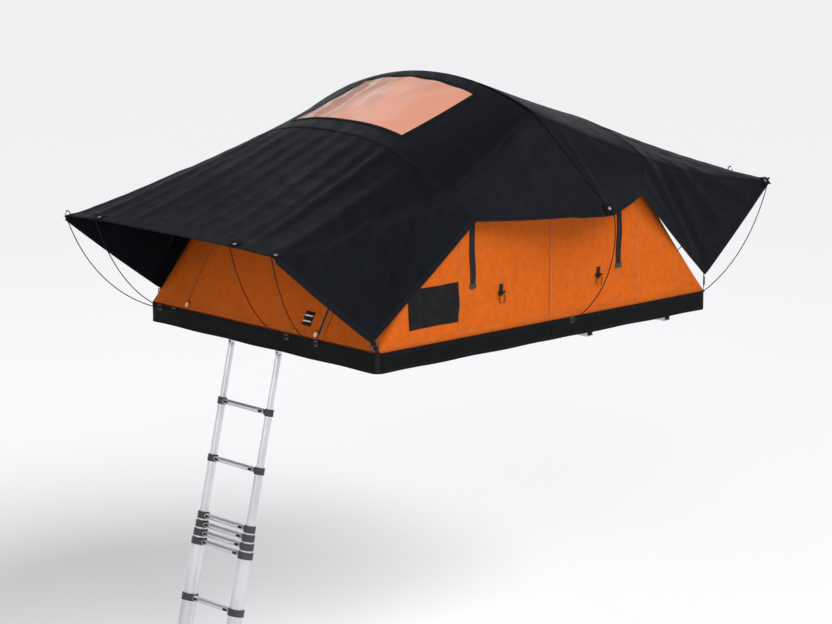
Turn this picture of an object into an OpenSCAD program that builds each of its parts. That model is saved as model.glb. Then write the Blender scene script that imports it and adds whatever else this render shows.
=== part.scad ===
// Soft-shell roof top tent, unfolded over one side of its carrier.
// Origin: centre of the four roof bar bolts, on the underside of the mounting rails.
// +X points away from the ladder, +Y across the tent, +Z up. Sizes in millimetres.

/* [Base] */
// Length of each base half along X
half_length = 1200; // [1100:10:1300]
// Width of the base along Y
base_width = 1800; // [1700:10:1900]
// Height of the base frame bars
frame_height = 30; // [25:1:40]
// Width of the base frame bars
frame_bar = 30; // [25:1:40]
// Thickness of the ledge that carries the floor panel
ledge_thick = 3; // [2:0.5:5]
// Width of the ledge that carries the floor panel
ledge_width = 15; // [10:1:25]
// Half of the gap between the two base halves
hinge_gap = 2; // [1:0.5:4]
// Thickness of each mattress
mattress_thick = 50; // [40:1:60]
// Gap between the mattress and the hinge
mattress_inset = 24; // [20:1:60]
// Gap between the mattress and the outer end of the base, under the sloping end wall
mattress_foot = 66; // [60:1:100]

/* [Mounting rails] */
// Height of the rails
rail_height = 30; // [25:1:40]
// Width of a rail's web
rail_width = 44; // [36:1:60]
// Wall of the rails
rail_wall = 4; // [3:0.5:6]
// Width of a rail's upper flange
rail_flange = 16; // [12:1:24]
// Bolt spacing along X, between the rails
bolt_spacing_x = 600; // [400:10:800]
// Bolt spacing along Y, between the roof bars
bolt_spacing_y = 800; // [600:10:1100]
// Diameter of the bolt holes
bolt_hole = 9; // [7:0.5:13]

/* [Hinge] */
// Height of the hinge pins above the floor
pivot_rise = 120; // [110:1:140]
// Diameter of the hinge pins
pin_diameter = 10; // [8:1:14]
// Thickness of a hinge plate
plate_thick = 4; // [3:0.5:5]
// Length of a hinge plate's foot
plate_foot = 150; // [110:5:200]
// Radial clearance of turning fits
turn_clear = 0.06; // [0.03:0.01:0.1]
// Gap between neighbouring moving pieces
side_gap = 0.3; // [0.2:0.1:1]

/* [Bows] */
// Diameter of the bow tube
bow_tube = 20; // [16:1:22]
// Wall of the bow tube
bow_wall = 2; // [1:0.5:3]
// Reach of the middle bow's crown from the hinge pins
bow_reach = 1110; // [1080:5:1130]
// Step in reach from one bow to the next
bow_reach_step = 36; // [30:1:50]
// Tilt of the rear and front bows above the floor in degrees
bow_tilt = 50; // [44:1:56]
// Radius of the bow corners
bow_corner = 280; // [220:10:320]
// Radius of the bow crowns
bow_crown = 1500; // [1300:50:2500]
// Gap between nested bow legs
bow_gap = 4; // [3:0.5:6]

/* [Fabric] */
// Height of the skirt round the base
skirt_height = 103; // [90:1:110]
// Thickness of the skirt
skirt_thick = 2.5; // [2:0.5:4]
// Radius of the skirt corners
skirt_corner = 45; // [30:1:80]
// Thickness of the tent fabric as a solid
fabric_thick = 3; // [2:0.5:4]
// Height of the flysheet ridge above the middle bow's crown
ridge_rise = 53; // [45:1:80]
// Height of the flysheet above the crowns of the rear and front bows
bow_rise = 86; // [76:1:100]
// How far the flysheet's bow seams stand out past the bow crowns
bow_stand = 35; // [25:1:50]
// How far the awning edges stand out past the base
awning_reach = 610; // [500:10:700]
// Height of the awning edges above the skirt
awning_height = 557; // [500:5:620]
// Half of the distance between the outer awning eyelets
awning_outer = 830; // [780:5:860]
// Half of the distance between the inner awning eyelets
awning_inner = 533; // [450:5:600]
// How far the side eyelets stand out past the base
side_reach = 250; // [200:10:300]
// Place of the side eyelets along X from the hinge
side_eyelet_x = 180; // [120:10:260]
// Half of the skylight's width
skylight_half = 425; // [350:5:480]
// Distance down the slope from the ridge to the skylight
skylight_drop = 90; // [60:5:140]
// Length of the skylight down the slope
skylight_length = 550; // [440:5:600]

/* [Rods and straps] */
// Diameter of the awning rods
rod_diameter = 5; // [4:0.5:7]
// Bow of the awning rods out of straight
rod_bulge = 97; // [70:1:130]
// Distance by which the rods of the two halves pass each other when folded
rod_pass = 14; // [8:1:20]
// How far the rod tips stand above the flysheet edge
rod_tip = 12; // [8:1:20]
// Place of the fixed half's wall strips along X from the hinge
fixed_strip_x = 505; // [450:5:560]
// Lower end of the fixed half's wall strips above the skirt
fixed_strip_low = 225; // [150:5:300]
// Upper end of the fixed half's wall strips above the skirt
fixed_strip_high = 510; // [400:5:560]
// Place of the fold-out half's wall strips along X from the hinge
fold_strip_x = 560; // [500:5:600]
// Lower end of the fold-out half's wall strips above the skirt
fold_strip_low = 250; // [150:5:300]
// Upper end of the fold-out half's wall strips above the skirt
fold_strip_high = 575; // [400:5:600]
// Width of the webbing
webbing_width = 38; // [25:1:50]
// Thickness of the webbing
webbing_thick = 2; // [1.5:0.5:3]

/* [Ladder] */
// Distance between the ladder's tube axes
ladder_width = 376; // [340:2:420]
// Place of the ladder's middle along Y
ladder_y = 70; // [-200:10:200]
// Lean of the ladder from upright in degrees
ladder_lean = 13; // [8:1:18]
// Distance from the base's end to the ladder's pivot
ladder_inset = 32; // [28:1:60]
// Drop of the ladder's pivot below the frame
ladder_drop = 36; // [34:1:50]
// Distance from the pivot to the first rung
first_rung = 285; // [270:1:300]
// Step between rungs of drawn-out sections
rung_step = 300; // [285:1:305]
// Step between rungs of sections that are pushed together
stack_step = 45; // [44:1:52]
// Length of a section's tubes
tube_length = 340; // [335:1:350]
// Outer diameter of the top section's tubes
tube_top = 32; // [28:1:36]
// Growth in tube diameter from one section to the next
tube_grow = 6.4; // [5:0.1:7]
// Wall of the ladder tubes
tube_wall = 1.5; // [1:0.1:2]
// Height of the plastic collars
collar_height = 36; // [30:1:40]
// Wall of the plastic collars
collar_wall = 4.5; // [3:0.5:6]
// Height of a rung
rung_height = 26; // [20:1:30]
// Depth of a rung
rung_depth = 40; // [32:1:46]
// Wall of a rung
rung_wall = 2; // [1.5:0.5:3]
// Travel of the thumb buttons
button_travel = 9; // [6:1:12]

/* [Hidden] */
$fn = 48;
// Facets of long arcs
ARC_FN = 360;
SECTIONS = 8;
RUNGS = SECTIONS - 1;

// Names of the repeated ladder pieces
section_names = [for (k = [1:SECTIONS]) str("ladder_section_", k)];
collar_names = [for (k = [1:RUNGS]) str("ladder_collars_", k)];
left_button_names = [for (k = [1:RUNGS]) str("ladder_button_left_", k)];
right_button_names = [for (k = [1:RUNGS]) str("ladder_button_right_", k)];

// Levels and places in the base
hinge_x = -half_length / 2;
floor_z = rail_height + frame_height;
pivot_z = floor_z + pivot_rise;
skirt_bottom = rail_height - 5;
skirt_top = skirt_bottom + skirt_height;
half_width = base_width / 2;
wall_y = half_width - 7;
wall_seat = floor_z + side_gap + fabric_thick - skirt_top;

// Stack of pieces along each hinge pin, from the tent wall inwards
fold_plate_y = wall_y - fabric_thick - 4;
fixed_plate_y = fold_plate_y - plate_thick - side_gap;
bow_pitch = bow_tube + bow_gap;
middle_leg_y = fixed_plate_y - plate_thick - side_gap - bow_tube / 2 - 3;
rear_leg_y = middle_leg_y - bow_pitch;
front_leg_y = rear_leg_y - bow_pitch;
pin_end_y = front_leg_y - bow_tube / 2 - 2;
bow_foot = pin_diameter + 4;
// Gap where the bow tubes butt together
bow_butt = 0.2;

// Ladder
ladder_pivot_x = hinge_x - half_length + ladder_inset;
ladder_pivot_z = rail_height - ladder_drop;
// Distances of the rungs from the pivot, rung 7 first
rung_at = [first_rung, first_rung + rung_step, first_rung + 2 * rung_step,
    first_rung + 2 * rung_step + stack_step, first_rung + 2 * rung_step + 2 * stack_step,
    first_rung + 2 * rung_step + 3 * stack_step, first_rung + 3 * rung_step + 3 * stack_step - 5];
head_length = 34;
head_pin = 10;

fly_black = [0.12, 0.13, 0.15];
tent_orange = [0.80, 0.38, 0.11];
skirt_black = [0.09, 0.10, 0.10];
bare_metal = [0.75, 0.76, 0.78];
rod_grey = [0.25, 0.25, 0.26];
collar_grey = [0.22, 0.23, 0.25];

// Frame helpers

// Draws its children in the fold-out half, mirrored about the hinge
module fold_side() { translate([hinge_x, 0, 0]) mirror([1, 0, 0]) children(); }
// Draws its children in the fixed half, with X counted from the hinge
module fixed_side() { translate([hinge_x, 0, 0]) children(); }
// Draws its children on the near and the far side
module both_sides() {
    children();
    mirror([0, 1, 0]) children();
}

// Base

// Section of a frame bar: a box with an inner ledge and an outer beading groove
module frame_section() {
    groove_r = 4;
    groove_mouth = 3;
    difference() {
        union() {
            square([frame_bar, frame_height]);
            square([frame_bar + ledge_width, ledge_thick]);
        }
        translate([groove_r + 1, frame_height / 2]) circle(groove_r);
        translate([-1, (frame_height - groove_mouth) / 2]) square([groove_r + 2, groove_mouth]);
        translate([2 * groove_r + 4, ledge_thick + 2])
            square([frame_bar - 2 * groove_r - 6, frame_height - ledge_thick - 4]);
    }
}

// The bars, rounded at the outer corners where the skirt goes round them
module base_frame() {
    intersection() {
        frame_bars();
        translate([0, 0, rail_height]) linear_extrude(frame_height) skirt_outline(0);
    }
}

module frame_bars() {
    // Cross bars at the outer end and beside the hinge
    translate([half_length, half_width, rail_height]) rotate([90, 0, 0]) linear_extrude(base_width)
        mirror([1, 0]) frame_section();
    translate([hinge_gap, half_width, rail_height]) rotate([90, 0, 0])
        linear_extrude(base_width) frame_section();
    // Side bars between the cross bars
    bar_run = half_length - hinge_gap - 2 * (frame_bar + ledge_width);
    both_sides()
        translate([hinge_gap + frame_bar + ledge_width, -half_width, rail_height])
            rotate([90, 0, 90]) linear_extrude(bar_run) frame_section();
}

module base_panel() {
    fit = side_gap;
    inner_x = hinge_gap + frame_bar + fit;
    translate([inner_x, -half_width + frame_bar + fit, rail_height + ledge_thick])
        cube([half_length - frame_bar - fit - inner_x, base_width - 2 * (frame_bar + fit),
            frame_height - ledge_thick]);
}

module mounting_rails() {
    run = base_width - 20;
    color(bare_metal) for (side = [-1, 1]) translate([side * bolt_spacing_x / 2, 0, 0])
        difference() {
            rotate([90, 0, 0]) linear_extrude(run, center = true) rail_section();
            for (end = [-1, 1]) translate([0, end * bolt_spacing_y / 2, -1])
                cylinder(h = rail_wall + 2, d = bolt_hole);
        }
}

// Hat section: web at the bottom, two walls, flanges under the base frame
module rail_section() {
    translate([-rail_width / 2, 0]) square([rail_width, rail_wall]);
    for (side = [-1, 1]) {
        wall_x = side * (rail_width - rail_wall) / 2;
        flange_x = side * (rail_width + rail_flange - rail_wall) / 2;
        translate([wall_x - rail_wall / 2, 0]) square([rail_wall, rail_height]);
        translate([flange_x - rail_flange / 2, rail_height - rail_wall])
            square([rail_flange, rail_wall]);
    }
}

// Hinge plate in the XZ plane, outer face at outer_y, with a foot on the frame
module hinge_plate(outer_y, foot_width, foot_out) {
    boss_r = pin_diameter + 8;
    foot_start = hinge_gap + 6;
    both_sides() difference() {
        union() {
            translate([0, outer_y, 0]) rotate([90, 0, 0]) linear_extrude(plate_thick) union() {
                translate([0, pivot_z]) circle(boss_r);
                polygon([[foot_start, floor_z], [foot_start + plate_foot, floor_z],
                    [foot_start + plate_foot, floor_z + 12], [boss_r * 0.7, pivot_z + boss_r * 0.7],
                    [-boss_r * 0.7, pivot_z - boss_r * 0.7]]);
            }
            foot_y = foot_out ? outer_y - plate_thick : outer_y - foot_width;
            translate([foot_start, foot_y, floor_z]) cube([plate_foot, foot_width, plate_thick]);
        }
        translate([0, outer_y + 1, pivot_z]) rotate([90, 0, 0])
            cylinder(h = plate_thick + 2, d = pin_diameter + 2 * turn_clear);
        // Lightening hole
        translate([foot_start + plate_foot * 0.42, outer_y + 1, floor_z + pivot_rise * 0.3])
            rotate([90, 0, 0]) cylinder(h = plate_thick + 2, d = pivot_rise * 0.2);
    }
}

module hinge_pins() {
    head_r = pin_diameter * 0.8;
    head_h = 2.5;
    color(bare_metal) translate([hinge_x, 0, pivot_z]) both_sides() rotate([90, 0, 0]) {
        translate([0, 0, -fold_plate_y - side_gap - head_h]) cylinder(h = head_h, r = head_r);
        translate([0, 0, -fold_plate_y - side_gap])
            cylinder(h = fold_plate_y + side_gap - pin_end_y, d = pin_diameter);
    }
}

// Mattress with a crowned top and rounded upright edges
module mattress() {
    length = half_length - mattress_inset - mattress_foot;
    width = 2 * (front_leg_y - bow_tube / 2 - 12);
    crown = 6;
    soft_r = mattress_thick / 2 - crown;
    rows = 8;
    // Height share at a place across the mattress, flat in the middle and round at the edges
    function swell(u) = 1 - pow(abs(2 * u - 1), 6);
    top = [for (i = [0:rows]) [for (j = [0:rows]) let (u = i / rows, v = j / rows)
        [mattress_inset + u * length, (v - 0.5) * width,
            floor_z + side_gap + mattress_thick - crown - soft_r * (1 - swell(u) * swell(v))
                + crown * sin(180 * u) * sin(180 * v)]]];
    base = [for (i = [0:rows]) [for (j = [0:rows]) let (u = i / rows, v = j / rows)
        [mattress_inset + u * length, (v - 0.5) * width, floor_z + side_gap]]];
    skin(top, base);
}

// Bows

// Section of the bow tube
module tube_section() {
    difference() {
        circle(d = bow_tube);
        circle(d = bow_tube - 2 * bow_wall);
    }
}

// Bow: an open-ended tube bent to an arch in the YZ plane, drilled for the hinge pins
// at the origin's level
module bow(leg_y, reach) {
    centre_y = leg_y - bow_corner;
    rise = sqrt(pow(bow_crown - bow_corner, 2) - pow(centre_y, 2));
    leg_top = reach - bow_crown + rise;
    sweep = atan2(centre_y, rise);
    both_sides() {
        difference() {
            translate([0, leg_y, -bow_foot]) linear_extrude(leg_top + bow_foot) tube_section();
            translate([0, leg_y + bow_tube, 0]) rotate([90, 0, 0])
                cylinder(h = 2 * bow_tube, d = pin_diameter + 2 * turn_clear);
        }
        translate([0, centre_y, leg_top]) rotate([90, 0, 90])
            rotate_extrude(angle = 90 - sweep, $fn = ARC_FN)
                translate([bow_corner, 0]) tube_section($fn = 48);
    }
    // The crown is a tube of its own, butted against the two corners
    crown_sweep = sweep - bow_butt / bow_crown * 180 / PI;
    translate([0, 0, reach - bow_crown]) rotate([90, 0, 90]) rotate([0, 0, 90 - crown_sweep])
        rotate_extrude(angle = 2 * crown_sweep, $fn = ARC_FN)
            translate([bow_crown, 0]) tube_section($fn = 48);
}

module rear_bow() {
    color(bare_metal) translate([hinge_x, 0, pivot_z]) rotate([0, 90 - bow_tilt, 0])
        bow(rear_leg_y, bow_reach - bow_reach_step);
}

module middle_bow() {
    color(bare_metal) translate([hinge_x, 0, pivot_z]) bow(middle_leg_y, bow_reach);
}

module front_bow() {
    color(bare_metal) translate([hinge_x, 0, pivot_z]) rotate([0, bow_tilt - 90, 0])
        bow(front_leg_y, bow_reach - 2 * bow_reach_step);
}

// Fabric sheets

// Closed solid between two grids of points; cells in the hole's row and column range stay open
module skin(upper, lower, hole = [0, -1, 0, -1], only = [0, 9999, 0, 9999]) {
    rows = len(upper) - 1;
    cols = len(upper[0]) - 1;
    count = (rows + 1) * (cols + 1);
    function at(i, j) = i * (cols + 1) + j;
    function within(i, j, r) = i >= r[0] && i <= r[1] && j >= r[2] && j <= r[3];
    function kept(i, j) = i >= 0 && i < rows && j >= 0 && j < cols
        && within(i, j, only) && !within(i, j, hole);
    // Two sheets split the wall along their shared edge by the same diagonal
    function wall(a, b) = a < b ? [[a, b, b + count], [a, b + count, a + count]]
        : [[a, b, a + count], [b, b + count, a + count]];
    points = concat([for (row = upper) for (p = row) p], [for (row = lower) for (p = row) p]);
    faces = [for (i = [0:rows - 1]) for (j = [0:cols - 1]) if (kept(i, j))
        let (a = at(i, j), b = at(i, j + 1), c = at(i + 1, j + 1), d = at(i + 1, j))
        each concat(
            [[a, b, c], [a, c, d]],
            [[c + count, b + count, a + count], [d + count, c + count, a + count]],
            kept(i - 1, j) ? [] : wall(b, a),
            kept(i, j + 1) ? [] : wall(c, b),
            kept(i + 1, j) ? [] : wall(d, c),
            kept(i, j - 1) ? [] : wall(a, d))];
    polyhedron(points = points, faces = faces, convexity = 8);
}

function unit(v) = v / norm(v);
function mix(a, b, t) = a + (b - a) * t;

// Normal of a grid at one point, from its neighbours
function grid_normal(g, i, j) = let (
    rows = len(g) - 1, cols = len(g[0]) - 1,
    along = g[min(i + 1, rows)][j] - g[max(i - 1, 0)][j],
    across = g[i][min(j + 1, cols)] - g[i][max(j - 1, 0)])
    unit(cross(across, along));

// The grid moved inwards by a thickness; the first row stays in its upright seam plane
function seam_normal(n) = unit([0, n[1], n[2]]);
function inset_grid(g, t) = [for (i = [0:len(g) - 1]) [for (j = [0:len(g[0]) - 1])
    let (n = grid_normal(g, i, j)) g[i][j] + t * (i == 0 ? seam_normal(n) : n)]];

// A ring across the tent: crown, shoulder and hem points as [x, y, z] for the far side.
// shape is the power of the crown's fall towards the shoulder.
CROWN = 0;
SHOULDER = 1;
HEM = 2;
SHAPE = 3;
fly_steps = 9;
drop_steps = 4;

// Points of half a ring from the crown's middle to the hem
function fly_half(ring) = concat(
    [for (k = [0:fly_steps]) let (y = fly_column(k, ring[SHOULDER][1]),
        s = pow(y / ring[SHOULDER][1], ring[SHAPE]))
        [mix(ring[CROWN][0], ring[SHOULDER][0], s), y, mix(ring[CROWN][2], ring[SHOULDER][2], s)]],
    [for (k = [1:drop_steps]) mix(ring[SHOULDER], ring[HEM], k / drop_steps)]);
// The columns keep to the skylight's edge, then share out the rest of the crown
function fly_column(k, shoulder_y) = k <= 5 ? skylight_half * k / 5
    : skylight_half + (shoulder_y - skylight_half) * (k - 5) / (fly_steps - 5);
function mirror_y(p) = [p[0], -p[1], p[2]];
function whole_ring(half) = concat([for (k = [len(half) - 1:-1:1]) mirror_y(half[k])], half);
function ring_mix(a, b, t) = [for (k = [0:len(a) - 1]) mix(a[k], b[k], t)];
// Rows between successive rings, with the given number of steps for each stretch
function ring_rows(rings, steps) = concat(
    [for (s = [0:len(steps) - 1]) for (k = [0:steps[s] - 1])
        ring_mix(rings[s], rings[s + 1], k / steps[s])],
    [rings[len(rings) - 1]]);

edge_x = half_length + awning_reach;
// How far the awning edge's outer eyelets lie behind and below its middle
corner_back = 28;
corner_drop = 22;
// Half of the gap at the seam between the two halves
seam_x = side_gap / 2;
hem_y = half_width + 42;
tie_y = half_width - 5;
// Heights of the corner ties above the skirt on the fixed and the fold-out half
fixed_tie_z = 100;
fold_tie_z = 35;
// How far the webbing of the ties ends below the flysheet's corners
tie_drop = 14;
// How far the crease to the side eyelet lies behind the ridge at the crown
crease_x = 28;
// Ridge over the middle bow, and the seams over the rear and front bows
ridge_height = pivot_z - skirt_top + bow_reach + ridge_rise;
seam_reach = bow_reach - bow_reach_step;
bow_seam_x = seam_reach * cos(bow_tilt) + bow_stand;
bow_seam_z = pivot_z - skirt_top + seam_reach * sin(bow_tilt) + bow_rise;
// Fall of the flysheet's middle line per millimetre from the bow seams to the awning edge
roof_fall = (bow_seam_z - awning_height) / (edge_x - bow_seam_x);
function roof_z(x) = awning_height + roof_fall * (edge_x - x);
// The lower edge runs straight from the fold-out half's bow seam to the side eyelet
front_hem_x = bow_seam_x - 135;
ridge_hem_y = mix(half_width + side_reach, hem_y, side_eyelet_x / (side_eyelet_x + front_hem_x));
eyelet_z = awning_height + 10;

ridge_ring = [[seam_x, 0, ridge_height], [seam_x, half_width - 163, ridge_height - 158],
    [seam_x, ridge_hem_y, eyelet_z + 8], 1.93];
eyelet_ring = [[crease_x, 0, ridge_height - 10], [crease_x, half_width - 153, ridge_height - 160],
    [side_eyelet_x, half_width + side_reach, eyelet_z], 1.93];
rear_ring = [[bow_seam_x, 0, bow_seam_z], [bow_seam_x - 5, half_width - 28, bow_seam_z - 190],
    [bow_seam_x - 98, hem_y, eyelet_z + 38], 2.6];
front_ring = [[bow_seam_x, 0, bow_seam_z], [bow_seam_x - 25, half_width - 28, bow_seam_z - 260],
    [front_hem_x, hem_y, eyelet_z + 31], 2.56];
function tie_ring(height) = [[half_length, 0, roof_z(half_length) - 15],
    [half_length - 40, half_width - 50, roof_z(half_length) - 137],
    [half_length - 5, tie_y, height], 3];
awning_ring = [[edge_x, 0, awning_height],
    [edge_x - corner_back, awning_outer, awning_height - corner_drop],
    [edge_x - corner_back - 8, awning_outer + 2, awning_height - corner_drop - 12], 4];

fixed_fly_rings = [for (r = [ridge_ring, eyelet_ring, rear_ring, tie_ring(fixed_tie_z), awning_ring])
    whole_ring(fly_half(r))];
fold_ridge = whole_ring(fly_half(ridge_ring));
fold_front = whole_ring(fly_half(front_ring));
// Ring of the fold-out half at a distance down the slope from the ridge
fold_slope = norm([bow_seam_x, ridge_height - bow_seam_z]);
function slope_ring(distance) = ring_mix(fold_ridge, fold_front, distance / fold_slope);
fold_fly_rings = [fold_ridge, slope_ring(skylight_drop), slope_ring(skylight_drop + skylight_length),
    fold_front, whole_ring(fly_half(tie_ring(fold_tie_z))), whole_ring(fly_half(awning_ring))];
skylight_rows = 7;
fixed_fly_grid = ring_rows(fixed_fly_rings, [2, 6, 5, 5]);
fold_fly_grid = ring_rows(fold_fly_rings, [1, skylight_rows, 1, 5, 5]);
fly_middle = fly_steps + drop_steps;
skylight_cells = [1, skylight_rows, fly_middle - 5, fly_middle + 4];

module fly_skin(grid, hole = [0, -1, 0, -1], only = [0, 9999, 0, 9999]) {
    skin(grid, inset_grid(grid, fabric_thick), hole, only);
}

module fixed_flysheet() {
    color(fly_black) translate([hinge_x, 0, skirt_top]) fly_skin(fixed_fly_grid);
}

module fold_flysheet() {
    color(fly_black) fold_side() translate([0, 0, skirt_top])
        fly_skin(fold_fly_grid, hole = skylight_cells);
}

module skylight() {
    color([0.93, 0.62, 0.52, 0.6]) fold_side() translate([0, 0, skirt_top])
        fly_skin(fold_fly_grid, only = skylight_cells);
}

// Inner tent: round arches over the bows on upright walls
arch_steps = 14;
wall_steps = 3;
arch_power = 2 / 2.1;
function arch_half(ring) = concat(
    [for (k = [0:arch_steps]) let (a = 90 * (1 - k / arch_steps), c = pow(cos(a), arch_power),
        s = pow(sin(a), arch_power))
        [mix(ring[SHOULDER][0], ring[CROWN][0], s), ring[SHOULDER][1] * c,
            mix(ring[SHOULDER][2], ring[CROWN][2], s)]],
    [for (k = [1:wall_steps]) mix(ring[SHOULDER], ring[HEM], k / wall_steps)]);

// The end wall's foot reaches into the skirt's round corners
corner_in = wall_y - half_width + skirt_corner;
end_x = half_length - skirt_corner + sqrt(pow(skirt_corner, 2) - pow(corner_in, 2)) - 2;
end_arch_x = bow_seam_x - 75;
middle_arch = [[seam_x, 0, ridge_height - 26], [seam_x, wall_y, ridge_height - 490],
    [seam_x, wall_y, wall_seat]];
end_arch = [[bow_seam_x - 10, 0, bow_seam_z - 38], [end_arch_x, wall_y, bow_seam_z - 400],
    [end_arch_x, wall_y, wall_seat]];
// Foot of the end wall: a straight line along the base, spaced like an arch
foot_line = [for (p = arch_half([[end_x, 0, wall_seat + 1], [end_x, wall_y - 40, wall_seat + 1],
    [end_x, wall_y, wall_seat]])) [p[0], p[1], wall_seat]];
inner_rings = [whole_ring(arch_half(middle_arch)), whole_ring(arch_half(end_arch)),
    whole_ring(foot_line)];
inner_grid = ring_rows(inner_rings, [5, 6]);

module inner_tent() {
    translate([0, 0, skirt_top]) skin(inner_grid, inset_grid(inner_grid, fabric_thick));
}

// Skirt: a band round three sides of a base half, with round outer corners
module skirt_outline(grow) {
    r = skirt_corner + grow;
    x = half_length + grow;
    y = half_width + grow;
    translate([0, -y]) square([x - r, 2 * y]);
    translate([x - r - 1, -y + r]) square([r + 1, 2 * (y - r)]);
    for (side = [-1, 1]) translate([x - r, side * (y - r)]) circle(r);
}

module skirt() {
    fit = side_gap;
    translate([0, 0, skirt_bottom]) linear_extrude(skirt_height) intersection() {
        difference() {
            skirt_outline(fit + skirt_thick);
            skirt_outline(fit);
        }
        translate([hinge_gap, -base_width]) square([2 * half_length, 2 * base_width]);
    }
}

// Rods and straps

// Rod bent to an arc from foot to tip in an upright plane, bulging outwards and down
module rod(foot, tip) {
    run = norm([tip[0] - foot[0], tip[1] - foot[1]]);
    rise = tip[2] - foot[2];
    chord = norm([run, rise]);
    radius = rod_radius(chord);
    back = radius - rod_bulge;
    centre = [run / 2 - rise / chord * back, rise / 2 + run / chord * back];
    start = atan2(-centre[1], -centre[0]);
    sweep = 2 * asin(chord / (2 * radius));
    translate(foot) rotate([0, 0, atan2(tip[1] - foot[1], tip[0] - foot[0])]) rotate([90, 0, 0])
        translate(centre) rotate([0, 0, start]) rotate_extrude(angle = sweep, $fn = ARC_FN)
            translate([radius, 0]) circle(d = rod_diameter, $fn = 24);
}

skirt_face = side_gap + skirt_thick;
// Gap from the awning edge to a rod tip, so that the rod just clears the edge below it
rod_stand = rod_diameter / 2 + 6.45;
rod_foot_z = skirt_top - 18;
socket_start = skirt_face + side_gap;
rod_foot_out = socket_start + 12;
rod_fit = 0.5;
socket_half = 16;
socket_back = 30;
socket_front = 16;

// Tip of an end rod at a given place across the awning edge
function end_tip(y) = let (s = pow(abs(y) / awning_outer, awning_ring[SHAPE]))
    [edge_x - corner_back * s + rod_stand, y, skirt_top + awning_height - corner_drop * s + rod_tip];
side_tip = [side_eyelet_x, half_width + side_reach + rod_stand, skirt_top + eyelet_z + rod_tip];
side_foot = [side_eyelet_x - 30, half_width + rod_foot_out, rod_foot_z];
function end_foot(y) = [half_length + rod_foot_out, y, rod_foot_z];
// Slope of a rod where it leaves its socket
function rod_pitch(foot, tip) = let (run = norm([tip[0] - foot[0], tip[1] - foot[1]]),
    rise = tip[2] - foot[2], chord = norm([run, rise]))
    atan2(rise, run) - asin(chord / (2 * rod_radius(chord)));
function rod_radius(chord) = (chord * chord / 4 + rod_bulge * rod_bulge) / (2 * rod_bulge);

// Each end rod as [place of its tip, place of its foot] across the tent
fixed_end_rods = [[-awning_outer, -half_width + 40], [-awning_inner - rod_pass, -half_width * 0.38],
    [awning_inner - rod_pass, half_width * 0.47], [awning_outer, half_width - 40]];
fold_end_rods = [[-awning_outer + rod_pass, -half_width / 2], [-awning_inner, -half_width / 4],
    [awning_inner, half_width - 210], [awning_outer - rod_pass, half_width - 90]];

module end_rods(pairs) {
    for (p = pairs) rod(end_foot(p[1]), end_tip(p[0]));
}

module side_rods() {
    both_sides() rod(side_foot, side_tip);
}

module fixed_rods() {
    color(rod_grey) fixed_side() {
        end_rods(fixed_end_rods);
        side_rods();
    }
}

module fold_rods() { color(rod_grey) fold_side() end_rods(fold_end_rods); }

// Socket: a tube turned to the rod's foot, on a plate that lies against the skirt.
// turn is the skirt face's own heading, 0 for the end and 90 for a side.
module socket(foot, tip, turn) {
    plate = 3;
    bore = rod_diameter + 2 * rod_fit;
    heading = atan2(tip[1] - foot[1], tip[0] - foot[0]);
    pitch = rod_pitch(foot, tip);
    difference() {
        translate(foot) {
            rotate([0, 0, turn]) translate([socket_start - rod_foot_out, -socket_half, -socket_half])
                cube([plate, 2 * socket_half, 2 * socket_half]);
            rotate([0, 0, heading]) rotate([0, 90 - pitch, 0]) translate([0, 0, -socket_back])
                cylinder(h = socket_back + socket_front, d = bore + 5);
        }
        translate(foot) rotate([0, 0, heading]) rotate([0, 90 - pitch, 0])
            translate([0, 0, -rod_fit]) cylinder(h = socket_front + 2, d = bore);
        translate(foot) rotate([0, 0, turn])
            translate([socket_start - rod_foot_out - 40, -50, -50]) cube([40, 100, 100]);
    }
}

module end_sockets(pairs) {
    for (p = pairs) socket(end_foot(p[1]), end_tip(p[0]), 0);
}

module fixed_rod_sockets() {
    color(skirt_black) fixed_side() {
        end_sockets(fixed_end_rods);
        both_sides() socket(side_foot, side_tip, 90);
    }
}

module fold_rod_sockets() { color(skirt_black) fold_side() end_sockets(fold_end_rods); }

// Upright webbing strip on a side wall
module wall_strip(x, low, high) {
    both_sides() translate([x - webbing_width / 2, wall_y + side_gap, skirt_top + low])
        cube([webbing_width, webbing_thick, high - low]);
}

// Corner tie: webbing over the skirt up to the flysheet's corner
module corner_tie(tip_z) {
    x = half_length - skirt_corner - webbing_width;
    both_sides() translate([x, half_width + skirt_face + side_gap, skirt_bottom])
        cube([webbing_width, webbing_thick, skirt_height + tip_z - tie_drop]);
}

module fixed_straps() {
    color(skirt_black) fixed_side() {
        wall_strip(fixed_strip_x, fixed_strip_low, fixed_strip_high);
        corner_tie(fixed_tie_z);
    }
}

module fold_straps() {
    color(skirt_black) fold_side() {
        wall_strip(fold_strip_x, fold_strip_low, fold_strip_high);
        corner_tie(fold_tie_z);
    }
}

// Ladder

// Draws its children in the ladder's own frame: X across, Z along the ladder upwards,
// origin at the pivot between the tubes, -Y to the front
module ladder_frame() {
    translate([ladder_pivot_x, ladder_y, ladder_pivot_z]) rotate([0, ladder_lean, 0])
        rotate([0, 0, -90]) children();
}
// Draws its children at both tube axes
module both_tubes() { for (side = [-1, 1]) translate([side * ladder_width / 2, 0, 0]) children(); }

function tube_d(k) = tube_top + (SECTIONS - k) * tube_grow;
function rung_z(k) = -rung_at[RUNGS - k];
function tube_high(k) = k == SECTIONS ? -head_length / 2 : rung_z(k);
function tube_low(k) = k == 1 ? rung_z(1) - rung_step - 20
    : k == SECTIONS ? -tube_length + 10 : rung_z(k) - tube_length;

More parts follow.
